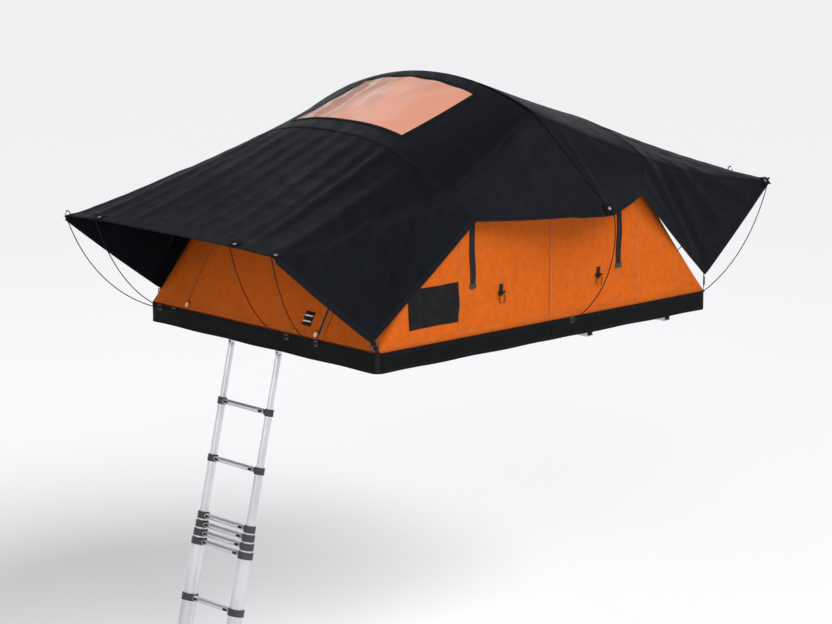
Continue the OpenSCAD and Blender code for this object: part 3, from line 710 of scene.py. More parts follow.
@dataclass(frozen=True)
class Ring:
    """A line of the flysheet across the tent: crown, shoulder and lower edge, with its roundness.

    The lower edge of the far side is the near one's mirror unless it is given. Every ring has the same
    steps: from the crown to the line that bounds the window, on to the shoulder, and down to the edge.
    """

    crown: Point
    shoulder: Point
    hem: Point
    shape: float
    far_hem: Point | None = None
    window: ClassVar[float] = 0.425
    inner_steps: ClassVar[int] = 16
    outer_steps: ClassVar[int] = 18
    drop_steps: ClassVar[int] = 24
    shoulder_step: ClassVar[int] = inner_steps + outer_steps
    soft_rounds: ClassVar[int] = 8
    soft_reach: ClassVar[float] = 4.0

    def corners(self) -> tuple[Point, Point, Point, Point]:
        """Crown, shoulder and the lower edges of the near and the far side."""
        return self.crown, self.shoulder, self.hem, self.far_hem or self.hem

    def toward(self, other: "Ring", share: float) -> "Ring":
        """A ring between this one and another.

        Args:
            other: The other ring.
            share: Share of the other ring.

        Returns:
            The ring between.
        """
        pairs = zip(self.corners(), other.corners())
        crown, shoulder, hem, far_hem = (tuple(mix(np.array(a), np.array(b), share)) for a, b in pairs)
        return Ring(crown, shoulder, hem, mix(self.shape, other.shape, share), far_hem)

    def profile(self) -> Array:
        """Points in the tent's frame, from the near lower edge over the crown to the far one."""
        near, far = (self.side(lower) for lower in self.corners()[2:])
        return np.concatenate([near[:0:-1] * (1, -1, 1), far])

    def side(self, lower: Point) -> Array:
        """Points of one side, laid out on the far one.

        Args:
            lower: The side's lower edge.

        Returns:
            Points from the crown to the lower edge, softened at the shoulder.
        """
        crown, shoulder, hem = (np.array(p) for p in (self.crown, self.shoulder, lower))
        middle = np.linspace(0, self.window, self.inner_steps + 1)
        y = np.concatenate([middle, np.linspace(self.window, shoulder[1], self.outer_steps + 1)[1:]])
        share = (y / shoulder[1]) ** self.shape
        top = np.stack([mix(crown[0], shoulder[0], share), y, mix(crown[2], shoulder[2], share)], axis=1)
        fall = mix(shoulder, hem, np.linspace(0, 1, self.drop_steps + 1)[1:, None])
        line = np.concatenate([top, fall])
        reach = np.exp(-(((np.arange(len(line)) - self.shoulder_step) / self.soft_reach) ** 2))[:, None]
        for _ in range(self.soft_rounds):
            soft = line.copy()
            soft[1:-1] = 0.25 * line[:-2] + 0.5 * line[1:-1] + 0.25 * line[2:]
            line = mix(line, soft, reach)
        return line


@dataclass
class Flysheet:
    """The black sheet over the bows, with its awnings, welts, hems and eyelets.

    Trim is given as its width and height, an eyelet's patch as half its sides and its height, and a ring
    as its own radius and that of its wire.
    """

    finishes: Finishes
    folds: list[Fold]
    thickness: float = 0.0015
    film_thickness: float = 0.0008
    window_rows: Pair = (0.117, 0.833)
    hem: Pair = (0.03, 0.0012)
    welt: Pair = (0.014, 0.0014)
    shoulder_welt: Pair = (0.016, 0.0012)
    window_welt: Pair = (0.024, 0.002)
    sag: float = 0.006
    ridge_dip: float = 0.008
    ridge_reach: float = 0.09
    crease_row: int = 8
    ripple: float = 0.003
    patch: Point = (0.03, 0.026, 0.0015)
    ring: Pair = (0.007, 0.002)
    hook_wire: float = 0.003
    fixed_tips: tuple[float, ...] = (-0.83, -0.547, 0.519, 0.83)
    fold_tips: tuple[float, ...] = (-0.816, -0.533, 0.533, 0.816)
    ridge: Ring = Ring((0.0, 0.0, 1.215), (0.0, 0.737, 1.057), (0.0, 1.101, 0.575), 1.93)
    eyelet: Ring = Ring((0.028, 0.0, 1.205), (0.028, 0.747, 1.055), (0.18, 1.15, 0.567), 1.93)
    rear: Ring = Ring((0.725, 0.0, 0.961), (0.72, 0.872, 0.771), (0.627, 0.942, 0.605), 2.6)
    front: Ring = Ring((0.725, 0.0, 0.961), (0.70, 0.872, 0.701), (0.59, 0.942, 0.598), 2.56)
    fixed_tie: Ring = Ring((1.2, 0.0, 0.769), (1.16, 0.85, 0.647), (1.195, 0.895, 0.10), 3.0)
    fold_tie: Ring = Ring(
        (1.2, 0.0, 0.769), (1.16, 0.85, 0.647), (1.232, 0.893, 0.07), 3.0, (1.12, 0.9, 0.072)
    )
    awning: Ring = Ring((1.81, 0.0, 0.557), (1.782, 0.83, 0.535), (1.774, 0.832, 0.523), 4.0)

    def half_rows(self, rings: list[Ring], counts: list[int]) -> tuple[Array, list[int]]:
        """Rows of points from the ridge to the awning edge.

        Args:
            rings: The rings in order from the ridge.
            counts: Rows between each ring and the next.

        Returns:
            The grid, and the row number of each ring.
        """
        rows, marks = [rings[0].profile()], [0]
        for a, b, n in zip(rings, rings[1:], counts):
            for t in (i / n for i in range(1, n + 1)):
                rows.append(a.toward(b, t).profile() - (0, 0, self.sag * math.sin(math.pi * t)))
            marks.append(marks[-1] + n)
        return np.array(rows), marks

    def surface(self) -> tuple[Array, dict[str, int]]:
        """The whole sheet as one grid, with its folds.

        Returns:
            The grid in the shared frame, and the row numbers of its lines.
        """
        fixed_rings = [self.ridge, self.eyelet, self.rear, self.fixed_tie, self.awning]
        fixed, fixed_marks = self.half_rows(fixed_rings, [self.crease_row, 30, 22, 28])
        fold, fold_marks = self.half_rows([self.ridge, self.front, self.fold_tie, self.awning], [43, 22, 28])
        fold = fold[:0:-1] * (-1, 1, 1)
        grid = np.concatenate([fold, fixed])
        grid[..., 2] -= self.ridge_dip * np.clip(1 - np.abs(grid[..., 0]) / self.ridge_reach, 0, 1) ** 2
        zero = len(fold)
        marks = {f"fold_{n}": zero - k for n, k in zip(("ridge", "bow", "tie", "edge"), fold_marks)}
        fixed_names = ("ridge", "eyelet", "bow", "tie", "edge")
        marks |= {f"fixed_{n}": zero + k for n, k in zip(fixed_names, fixed_marks)}
        lift = sum((f.lift(grid) for f in self.folds), np.zeros(grid.shape[:2]))
        rim = np.minimum(np.arange(grid.shape[1]), np.arange(grid.shape[1])[::-1])
        lift *= np.clip(rim / 4.0, 0.15, 1.0)[None, :]
        grid = grid + grid_normals(grid) * lift[..., None]
        return grid + row_point(0, 0, 0), marks

    def build(self) -> None:
        """Build the four panels of the sheet and the window film."""
        grid, marks = self.surface()
        normals = grid_normals(grid)
        for half in Half:
            ridge, bow, edge = (marks[f"{half.label}_{n}"] for n in ("ridge", "bow", "edge"))
            for panel, (a, b) in {Panel.MID: (ridge, bow), Panel.OUTER: (bow, edge)}.items():
                rows = slice(min(a, b), max(a, b) + 1)
                self.build_panel(half, panel, grid[rows], normals[rows])

    def build_panel(self, half: Half, panel: Panel, grid: Array, normals: Array) -> None:
        """Build one panel of the sheet.

        Args:
            half: The half it belongs to.
            panel: Which panel of the half.
            grid: Its points, in the order of the whole sheet.
            normals: Its normals.
        """
        maker = MeshMaker()
        step = int(half.value)
        grid, normals = grid[::step], normals[::step]
        keep = None
        if half is Half.FOLD and panel is Panel.MID:
            keep = self.window_cells(grid)
            self.build_film(grid, ~keep)
            self.sew_window(maker, grid, normals)
        maker.cloth(grid[::step], self.thickness, FlySlot.CLOTH, None if keep is None else keep[::step])
        middle = grid.shape[1] // 2
        shoulders = (middle - Ring.shoulder_step, middle + Ring.shoulder_step)
        for columns, trim in (((0, -1), self.hem), (shoulders, self.shoulder_welt)):
            for column in columns:
                maker.ribbon(grid[:, column], normals[:, column], *trim, FlySlot.WELT)
        crease = (self.crease_row,) if half is Half.FIXED else ()
        for row in (0, -1) if panel is Panel.OUTER else crease:
            maker.ribbon(grid[row], normals[row], *self.welt, FlySlot.WELT)
        self.set_eyelets(maker, half, panel, grid, normals)
        f = self.finishes
        materials = [f.fly, f.fly_welt, f.eyelet, f.rod]
        made = maker.make(f"fly_{half.label}_{panel.value}", materials, "fly_fabric")
        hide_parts(f"{half.label}_flysheet")
        if panel is Panel.MID:
            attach(made, half.bow)
            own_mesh(made)
        else:
            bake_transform(made)

    def window_span(self, rows: int) -> slice:
        """Rows of cells in the window, from the ridge outward, in a panel of so many rows."""
        return slice(round(self.window_rows[0] * rows), round(self.window_rows[1] * rows))

    def window_cells(self, grid: Array) -> Array:
        """Which cells of the panel over the fold-out half are cloth.

        Args:
            grid: Points of the panel, outward.

        Returns:
            False for cells in the window.
        """
        rows, columns = grid.shape[0] - 1, grid.shape[1] - 1
        keep = np.ones((rows, columns), bool)
        middle = columns // 2
        keep[self.window_span(rows), middle - Ring.inner_steps : middle + Ring.inner_steps] = False
        return keep

    def sew_window(self, maker: MeshMaker, grid: Array, normals: Array) -> None:
        """Sew a welt round the window.

        Args:
            maker: The piece under construction.
            grid: Points of the panel, outward.
            normals: Its normals.
        """
        span, middle = self.window_span(grid.shape[0] - 1), grid.shape[1] // 2
        left, right = middle - Ring.inner_steps, middle + Ring.inner_steps
        width, height = self.window_welt
        for row in (span.start, span.stop):
            line = slice(left, right + 1)
            maker.ribbon(grid[row, line], normals[row, line], width, height, FlySlot.WELT)
        for column in (left, right):
            line = slice(span.start, span.stop + 1)
            maker.ribbon(grid[line, column], normals[line, column], width, height + 0.0001, FlySlot.WELT)

    def build_film(self, grid: Array, cells: Array) -> None:
        """Build the window film.

        Args:
            grid: Points of the panel it is sewn into, outward.
            cells: The cells of the window.
        """
        rows, columns = np.nonzero(cells)
        part = grid[rows.min() : rows.max() + 2, columns.min() : columns.max() + 2]
        x, y = part[..., 0], part[..., 1]
        ripple = self.ripple * np.sin(y * 31 + 2 * np.sin(x * 9)) * np.cos(x * 13)
        ripple[[0, -1]] = ripple[:, [0, -1]] = 0
        part = part - grid_normals(part) * (SINK - ripple)[..., None]
        maker = MeshMaker()
        maker.cloth(part[::-1], self.film_thickness)
        made = maker.make("skylight_film", [self.finishes.film], "clear_film")
        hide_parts("skylight")
        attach(made, "front_bow")
        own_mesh(made)

    def set_eyelets(self, maker: MeshMaker, half: Half, panel: Panel, grid: Array, normals: Array) -> None:
        """Set the ring eyelets of a panel, with the rods' hooks along the awning edge.

        Args:
            maker: The piece under construction.
            half: The half it belongs to.
            panel: Which panel of the half.
            grid: Points of the panel, outward.
            normals: Its normals.
        """
        spots = []
        if panel is Panel.OUTER:
            tips = self.fixed_tips if half is Half.FIXED else self.fold_tips
            spots = [(-2, int(np.argmin(np.abs(grid[-2, :, 1] - y)))) for y in tips]
        elif half is Half.FIXED:
            spots = [(self.crease_row, 1), (self.crease_row, grid.shape[1] - 2)]
        long, wide, high = self.patch
        for spot in spots:
            point, normal = grid[spot], normals[spot]
            u = unit(np.cross(normal, (0.0, 1.0, 0.2)))
            v = np.cross(normal, u)
            maker.plate(point + normal * 0.001, u * long, v * wide, high, FlySlot.WELT)
            maker.eyelet(point + normal * 0.003, normal, *self.ring, FlySlot.METAL)
            if panel is Panel.OUTER:
                out = np.array([half.value, 0.0, 0.0])
                bends = ((0.0, 0.0), (0.002, 0.014), (0.009, 0.022), (0.018, 0.022), (0.024, 0.016))
                hook = np.array([point + out * a + normal * b for a, b in bends])
                maker.tube(hook, self.hook_wire, FlySlot.HOOK)


@dataclass(frozen=True)
class Door:
    """The door in the end wall, by distance across and height, with its trim's width and height."""

    left: float = 0.615
    right: float = -0.45
    top: float = 0.64
    foot: float = 0.006
    corner: float = 0.2
    middle: float = 0.13
    zip_tape: Pair = (0.018, 0.0025)
    flap: Pair = (0.03, 0.0055)
    flap_shift: Pair = (0.004, 0.024)
    eyelets: tuple[Pair, Pair] = ((0.6, 0.022), (-0.43, 0.02))
    outer_ring: Pair = (0.017, 0.006)
    inner_ring: Pair = (0.008, 0.0045)
    patch_y: float = -0.334
    patch_z: Pair = (0.051, 0.117)
    patch: Pair = (0.07, 0.0025)
    bars: tuple[float, float] = (0.071, 0.097)
    bar_half: float = 0.029
    bar: Pair = (0.007, 0.0045)

    def outline(self) -> list[Pair]:
        """Corners of the door's edge, with rounded upper corners.

        Returns:
            Pairs of distance across and height, from the right foot to the left one.
        """
        r, level = self.corner, self.top - self.corner
        turn = np.linspace(0, math.pi / 2, 9)
        line = [(self.right, self.foot), (self.right, level)]
        line += [(self.right + r - r * math.cos(t), level + r * math.sin(t)) for t in turn]
        line += [(self.left - r + r * math.sin(t), level + r * math.cos(t)) for t in turn]
        return line + [(self.left, self.foot)]

    def flap_line(self) -> list[Pair]:
        """Corners of the rain flap beside the zip, as distance across and height."""
        shifts = [self.flap_shift[0] if y > 0 else self.flap_shift[1] for y, _ in self.outline()]
        return [(y + math.copysign(s, y - self.middle), z) for s, (y, z) in zip(shifts, self.outline())]


@dataclass
class InnerTent:
    """The orange body of one half, with the fittings sewn to it.

    Places are distance from the hinge and height over the skirt, and the tip of the end wall's hem is
    distance across and height. Trim is given as its width and height.
    """

    finishes: Finishes
    half: Half
    folds: list[Fold]
    door: Door = Door()
    thickness: float = 0.001
    half_width: float = 0.893
    ridge_height: float = 1.184
    ridge_shoulder: float = 0.725
    ridge_x: float = 0.001
    end_crown: Pair = (0.715, 0.919)
    end_shoulder: Pair = (0.65, 0.561)
    seat: float = -0.0647
    foot: float = 1.177
    toe: Pair = (1.195, 0.004)
    toe_corner: float = 0.02
    foot_corner: float = 0.04
    power: float = 2 / 2.1
    roof_rows: int = 30
    end_rows: int = 30
    tuck_rows: int = 6
    bow_welt: Pair = (0.018, 0.001)
    ridge_welt: Pair = (0.02, 0.001)
    side_hem: Pair = (0.014, 0.001)
    side_hem_run: Pair = (0.01, 1.125)
    side_hem_height: float = 0.022
    end_hem: Pair = (0.016, 0.0015)
    end_hem_tip: Pair = (0.85, 0.016)
    toggle: Pair = (0.355, 0.205)
    toggle_tape: Pair = (0.026, 0.003)
    toggle_half: float = 0.022
    toggle_radius: float = 0.0055
    loop_half: Pair = (0.02, 0.026)
    loop_cord: float = 0.0022
    label_run: Pair = (0.99, 0.655)
    label_rise: Pair = (0.083, 0.283)
    label_thickness: float = 0.0035

    def arch(self, crown: Pair, shoulder: Pair) -> Array:
        """One side of an arch from its foot to its crown.

        Args:
            crown: Place of the crown.
            shoulder: Place of the shoulder.

        Returns:
            Points in the tent's frame.
        """
        turn = np.linspace(0, math.pi / 2, 37)
        y, s = np.cos(turn) ** self.power * self.half_width, np.sin(turn) ** self.power
        y[-1] = 0.0
        over = np.stack([mix(shoulder[0], crown[0], s), y, mix(shoulder[1], crown[1], s)], axis=1)
        height = mix(self.seat, shoulder[1], np.linspace(0, 1, 25)[:-1])
        wall = [(shoulder[0], self.half_width, z) for z in height]
        return np.concatenate([wall, over])

    def reach(self, y: Array | float, corner: float) -> Array | float:
        """How far out the foot of the end wall lies at a distance across, with round corners."""
        into = np.maximum(0.0, np.abs(y) - self.half_width + corner)
        return self.toe[0] - corner + np.sqrt(np.maximum(0.0, corner**2 - into**2))

    def surface(self) -> Array:
        """Rows of points from the ridge to the foot of the end wall, tucked in behind the skirt.

        Returns:
            The grid in the tent's frame, for the fixed half.
        """
        ridge = self.arch((self.ridge_x, self.ridge_height), (self.ridge_x, self.ridge_shoulder))
        end = self.arch(self.end_crown, self.end_shoulder)
        y = end[:, 1]
        height = np.minimum(1.0, (end[:, 2] - self.seat) / (self.end_shoulder[1] - self.seat))
        out, behind = self.reach(y, self.toe_corner), np.minimum(self.foot, self.reach(y, self.foot_corner))
        toe = np.stack([out, y, mix(self.seat, self.toe[1], height)], axis=1)
        knee = np.stack([behind, y, mix(self.seat, 0.0, height)], axis=1)
        foot = np.stack([behind, y, np.full(len(y), self.seat)], axis=1)
        rows = [mix(ridge, end, t) for t in np.linspace(0, 1, self.roof_rows + 1)]
        rows += [mix(end, toe, t) for t in np.linspace(0, 1, self.end_rows + 1)[1:]]
        rows += [mix(knee, foot, t) for t in np.linspace(0, 1, self.tuck_rows)]
        side = np.array(rows)
        return np.concatenate([side * (1, -1, 1), side[:, -2::-1]], axis=1)

    def end_spot(self, y: float, z: float) -> Array:
        """A point on the end wall.

        Args:
            y: Distance across.
            z: Height over the skirt's upper edge.

        Returns:
            The point in the shared frame.
        """
        turn = math.acos(min(1.0, abs(y) / self.half_width) ** (1 / self.power))
        top = mix(np.array(self.end_shoulder), np.array(self.end_crown), math.sin(turn) ** self.power)
        x = np.interp(z, (self.toe[1], top[1]), (self.reach(y, self.toe_corner), top[0]))
        return row_point(self.half.value * x, y, z)

    def wall_spot(self, x: float, side: int, z: float, out: float = 0.0) -> Array:
        """A point on a side wall, with the wall's folds.

        Args:
            x: Distance from the hinge, outward.
            side: -1 for the near wall, 1 for the far one.
            z: Height over the skirt's upper edge.
            out: Distance outside the wall.

        Returns:
            The point in the shared frame.
        """
        flat = np.array([x, side * self.half_width, z])
        lift = sum(f.lift(flat) for f in self.folds) + out
        return row_point(self.half.value * x, side * (self.half_width + lift), z)

    def end_path(self, line: list[Pair], step: float = 0.03) -> tuple[Array, Array]:
        """A line drawn on the end wall.

        Args:
            line: Corners as distance across and height.
            step: Spacing of the points.

        Returns:
            Points and outward normals in the shared frame.
        """
        corners = np.array(line)
        lengths = arc_lengths(corners)
        at = np.linspace(0, lengths[-1], max(3, int(lengths[-1] / step)))
        flat = np.stack([np.interp(at, lengths, corners[:, k]) for k in (0, 1)], axis=1)
        path, normals, e = [], [], 0.01
        for y, z in flat:
            across = self.end_spot(y + e, z) - self.end_spot(y - e, z)
            up = self.end_spot(y, z + e) - self.end_spot(y, z - e)
            path.append(self.end_spot(y, z))
            normals.append(unit(np.cross(up, across) * -self.half.value))
        return np.array(path), np.array(normals)

    def build(self) -> None:
        """Build the body and its fittings."""
        flat = self.surface()
        lift = sum((f.lift(flat) for f in self.folds), np.zeros(flat.shape[:2]))
        rows, columns = np.arange(flat.shape[0]), np.arange(flat.shape[1])
        rim = np.minimum(columns, columns[::-1]) / 3.0
        ends = np.minimum(rows / 2.0, (rows[::-1] - self.tuck_rows) / 3.0)
        lift *= np.clip(rim, 0, 1)[None] * np.clip(ends, 0, 1)[:, None]
        flat = flat + grid_normals(flat) * lift[..., None]
        bow, ridge = self.roof_rows, 0
        if self.half is Half.FOLD:
            flat = flat[::-1] * (-1, 1, 1)
            bow, ridge = len(rows) - 1 - bow, len(rows) - 1
        grid = flat + row_point(0, 0, 0)
        maker = MeshMaker()
        maker.cloth(grid, self.thickness)
        normals = grid_normals(grid)
        maker.ribbon(grid[bow], normals[bow], *self.bow_welt, TentSlot.WELT)
        maker.ribbon(grid[ridge], normals[ridge], *self.ridge_welt, TentSlot.WELT)
        self.sew_feet(maker)
        self.sew_door(maker)
        self.sew_walls(maker)
        f = self.finishes
        materials = [f.orange, f.orange_welt, f.zip, f.webbing, f.patch, f.core]
        made = maker.make(f"inner_tent_{self.half.label}", materials, "orange_canvas")
        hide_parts(f"{self.half.label}_inner_tent")
        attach(made, self.half.base)
        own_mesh(made)

    def sew_feet(self, maker: MeshMaker) -> None:
        """Sew the hems along the foot of the side walls and the end wall.

        Args:
            maker: The piece under construction.
        """
        along = self.half.value * np.linspace(*self.side_hem_run, 40)
        for side in (-1, 1):
            y, normals = side * self.half_width, np.tile((0.0, side, 0.0), (len(along), 1))
            path = np.array([row_point(x, y, self.side_hem_height) for x in along])
            maker.ribbon(path, normals, *self.side_hem, TentSlot.WELT)
        y, z = self.end_hem_tip
        maker.ribbon(*self.end_path([(-y, z), (y, z)]), *self.end_hem, TentSlot.WELT)

    def sew_door(self, maker: MeshMaker) -> None:
        """Sew the door into the end wall: zip, rain flap, eyelets and a webbing patch.

        Args:
            maker: The piece under construction.
        """
        door = self.door
        maker.ribbon(*self.end_path(door.outline()), *door.zip_tape, TentSlot.ZIP)
        maker.ribbon(*self.end_path(door.flap_line()), *door.flap, TentSlot.WELT)
        for y, z in door.eyelets:
            path, normals = self.end_path([(y - 0.02, z), (y + 0.02, z)])
            spot, normal = path[1], normals[1]
            maker.eyelet(spot, normal, *door.outer_ring, TentSlot.WELT)
            maker.eyelet(spot + normal * 0.002, normal, *door.inner_ring, TentSlot.CORE)
        patch = self.end_path([(door.patch_y, z) for z in door.patch_z], 0.01)
        maker.ribbon(*patch, *door.patch, TentSlot.WEBBING)
        for z in door.bars:
            bar = self.end_path([(door.patch_y + s * door.bar_half, z) for s in (-1, 1)], 0.01)
            maker.ribbon(*bar, *door.bar, TentSlot.CORE)

    def sew_walls(self, maker: MeshMaker) -> None:
        """Sew the fittings to the side walls: toggles with loops and a bare label patch.

        Args:
            maker: The piece under construction.
        """
        (x, z), (wide, high) = self.toggle, self.loop_half
        for side in (-1, 1):
            out = np.array([0.0, side, 0.0])
            path = np.array([self.wall_spot(x, side, z + h) for h in (0.03, 0.01, -0.012, -0.03)])
            maker.ribbon(path, np.tile(out, (4, 1)), *self.toggle_tape, TentSlot.WEBBING)
            bar = path[2] + out * 0.008
            toggle = np.array([bar + (k * self.toggle_half, 0, 0) for k in (-1, 0, 1)])
            maker.tube(toggle, self.toggle_radius, TentSlot.PATCH, 12)
            turn = np.linspace(-0.35 * math.pi, 1.35 * math.pi, 22)
            hang = bar + out * 0.004 - (0, 0, 0.032)
            loop = [hang + (wide * math.cos(t), 0, high * math.sin(t)) for t in turn]
            maker.tube(np.array(loop), self.loop_cord, TentSlot.WEBBING)
        if self.half is Half.FOLD:
            xs, zs = np.linspace(*self.label_run, 14), np.linspace(*self.label_rise, 10)
            label = np.array([[self.wall_spot(x, -1, z, 0.003) for z in zs] for x in xs])
            maker.cloth(label, self.label_thickness, TentSlot.PATCH)


@dataclass
class Skirt:
    """The coated band round the base of one half."""

    finishes: Finishes
    half: Half
    thickness: float = 0.002
    corner: float = 0.045
    hem: Pair = (0.02, 0.0015)
    waves: Pair = (0.0018, 0.0012)
    droop: float = 0.0015
    rows: int = 9

    def outline(self, low: Point, high: Point) -> Array:
        """The band's outer line, from the hinge round the end and back.

        Args:
            low: Lower corner of the solid band.
            high: Upper corner of the solid band.

        Returns:
            Points in plan.
        """
        start, end = (low[0], high[0]) if self.half is Half.FIXED else (high[0], low[0])
        sign, r, y = self.half.value, self.corner, high[1]
        run = np.linspace(start, end - sign * r, 40)[:-1]
        turn = np.linspace(0, math.pi / 2, 9)
        bend = [(end - sign * r * (1 - math.sin(t)), -y + r * (1 - math.cos(t))) for t in turn]
        path = [(x, -y) for x in run] + bend
        path += [(end, v) for v in np.linspace(-y + r, y - r, 60)[1:-1]]
        path += [(x, -v) for x, v in reversed(bend)] + [(x, y) for x in run[::-1]]
        return np.array(path)

    def build(self) -> None:
        """Build the band with its hems."""
        low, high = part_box(f"{self.half.label}_skirt")
        line = self.outline(low, high)
        length = arc_lengths(line)
        tangent = np.gradient(line, axis=0)
        out = unit(np.stack([tangent[:, 1], -tangent[:, 0]], axis=1) * self.half.value)
        slow, fast = self.waves
        wave = slow + slow * np.sin(length * 9 + 1.3) + fast * np.sin(length * 23)
        rows = []
        for share in np.linspace(0, 1, self.rows):
            push = wave * math.sin(math.pi * min(1, 1.15 * (1 - share)))
            z = mix(low[2], high[2], share) + (1 - share) * self.droop * np.sin(length * 14)
            rows.append(np.column_stack([line + out * push[:, None], z]))
        grid = np.array(rows)
        if self.half is Half.FIXED:
            grid = grid[::-1]
        maker = MeshMaker()
        maker.cloth(grid, self.thickness)
        normals = grid_normals(grid)
        for row, inward in ((0, 1), (-1, -2)):
            maker.ribbon(mix(grid[row], grid[inward], 0.8), normals[row], *self.hem, 1)
        materials = [self.finishes.skirt, self.finishes.fly_welt]
        made = maker.make(f"skirt_{self.half.label}", materials, "skirt_fabric")
        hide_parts(f"{self.half.label}_skirt")
        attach(made, self.half.base)


@dataclass
class Webbing:
    """Webbing of one half: strips on the side walls and ties over the base corners.

    A corner is given as distance from the hinge and across, and a strip as distance from the hinge and the
    heights of its two ends.
    """

    finishes: Finishes
    tent: InnerTent
    width: float = 0.038
    height: float = 0.002
    lift: float = 0.0012
    corner: Pair = (1.1888, 0.8888)
    far_tie: Pair = (1.12, 0.9005)
    near_lean: float = 0.04
    fixed_strip: Point = (0.505, 0.225, 0.51)
    fold_strip: Point = (0.56, 0.25, 0.575)
    fixed_tip: float = 0.108
    fold_tip: float = 0.078
    tab: Pair = (0.046, 0.004)
    buckle_half: Pair = (0.018, 0.02)
    buckle_rung: float = 0.003
    buckle_side: float = 0.0032

    def build(self) -> None:
        """Build the strips and the ties."""
        half = self.tent.half
        strips, ties = MeshMaker(), MeshMaker()
        for side in (-1, 1):
            self.sew_strip(strips, side)
            self.sew_tie(ties, side)
        materials = [self.finishes.webbing, self.finishes.socket]
        strip = strips.make(f"wall_strips_{half.label}", materials, "webbing")
        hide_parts(f"{half.label}_straps")
        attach(strip, half.base)
        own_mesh(strip)
        tie = ties.make(f"corner_ties_{half.label}", materials, "webbing")
        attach(tie, half.base)

    def sew_strip(self, maker: MeshMaker, side: int) -> None:
        """Sew a strip to a side wall, with the tab at its lower end.

        Args:
            maker: The piece under construction.
            side: -1 for the near wall, 1 for the far one.
        """
        place, low, high = self.fixed_strip if self.tent.half is Half.FIXED else self.fold_strip
        out = np.array([0.0, side, 0.0])
        path = np.array([self.tent.wall_spot(place, side, z) for z in np.linspace(low, high, 24)])
        maker.ribbon(path, np.tile(out, (len(path), 1)), self.width, self.height, 0, self.lift)
        tab = np.array([path[0] + out * 0.003 + (0, 0, h) for h in (-0.012, 0.0, 0.012)])
        maker.ribbon(tab, np.tile(out, (len(tab), 1)), *self.tab, 1)

    def sew_tie(self, maker: MeshMaker, side: int) -> None:
        """Sew a tie from a wing tip down over the skirt, with its buckle.

        Args:
            maker: The piece under construction.
            side: -1 for the near side, 1 for the far one.
        """
        half = self.tent.half
        corner, outward, lean = self.tie_place(side)
        top = self.fixed_tip if half is Half.FIXED else self.fold_tip
        tip = np.array([half.value * lean, 0.0, top])
        upper = [corner + tip * share for share in (1.0, 0.6, 0.3, 0.0)]
        line = np.array(upper + [corner - (0, 0, drop) for drop in (0.035, 0.07, 0.102)])
        normals = np.tile(outward, (len(line), 1))
        maker.ribbon(line, normals, 0.6 * self.width, self.height, 0, self.lift)
        self.add_buckle(maker, corner + outward * 0.001 + 0.5 * tip, outward)

    def tie_place(self, side: int) -> tuple[Array, Array, float]:
        """Where a tie lies: over the round corner, or on the side under the far wing.

        Args:
            side: -1 for the near side, 1 for the far one.

        Returns:
            The point at the skirt's upper edge, the outward direction and the lean of the upper end.
        """
        fold, sign = self.tent.half is Half.FOLD, self.tent.half.value
        if fold and side > 0:
            return row_point(sign * self.far_tie[0], self.far_tie[1], 0.0), np.array([0.0, 1.0, 0.0]), 0.0
        outward = np.array([sign, side, 0.0]) / math.sqrt(2)
        corner = row_point(sign * self.corner[0], side * self.corner[1], 0.0)
        return corner, outward, self.near_lean if fold else 0.0

    def add_buckle(self, maker: MeshMaker, centre: Array, out: Array) -> None:
        """Put a ladder buckle on a tie.

        Args:
            maker: The piece under construction.
            centre: Middle of the buckle on the webbing.
            out: Outward direction.
        """
        across, (wide, high) = np.cross(out, UP), self.buckle_half
        middle, ends = centre + out * 0.004, high + self.buckle_rung
        for h in (-high, 0.0, high):
            bar = [middle + across * k + (0, 0, h) for k in (-wide, 0.0, wide)]
            maker.tube(np.array(bar), self.buckle_rung, 1)
        for k in (-wide, wide):
            bar = [middle + across * k + (0, 0, h) for h in (-ends, 0.0, ends)]
            maker.tube(np.array(bar), self.buckle_side, 1)


@dataclass
class Mattress:
    """The foam mattress of one half, in its tufted cover."""

    finishes: Finishes
    half: Half
    crown: float = 0.006
    edge: float = 0.018
    tuft: float = 0.004
    tuft_counts: tuple[int, int] = (4, 5)
    edge_reach: float = 0.05
    crown_reach: float = 0.3
    cells: tuple[int, int] = (30, 40)

    def build(self) -> None:
        """Build the mattress."""
        low, high = (np.array(p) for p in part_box(f"{self.half.label}_mattress"))
        gx, gy = np.meshgrid(*(np.linspace(0, 1, n) for n in self.cells), indexing="ij")
        size = high - low
        away = np.minimum(np.minimum(gx, 1 - gx) * size[0], np.minimum(gy, 1 - gy) * size[1])
        drop = self.edge * (1 - np.clip(away / self.edge_reach, 0, 1) ** 0.5)
        swell = self.crown * np.clip(away / self.crown_reach, 0, 1)
        off = [((g * n) % 1 - 0.5) ** 2 for g, n in zip((gx, gy), self.tuft_counts)]
        tuft = self.tuft * np.exp(-(sum(off) / 0.006))
        top = high[2] - self.crown - drop + swell - tuft
        flat = np.stack([gx * size[0], gy * size[1]], axis=2)
        upper, lower = (np.dstack([flat + low[:2], z]) for z in (top, low[2] + 0.3 * drop))
        maker = MeshMaker()
        maker.shell(upper, lower, flat, 0)
        made = maker.make(f"mattress_{self.half.label}", [self.finishes.mattress], "mattress_cover")
        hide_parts(f"{self.half.label}_mattress")
        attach(made, self.half.base)


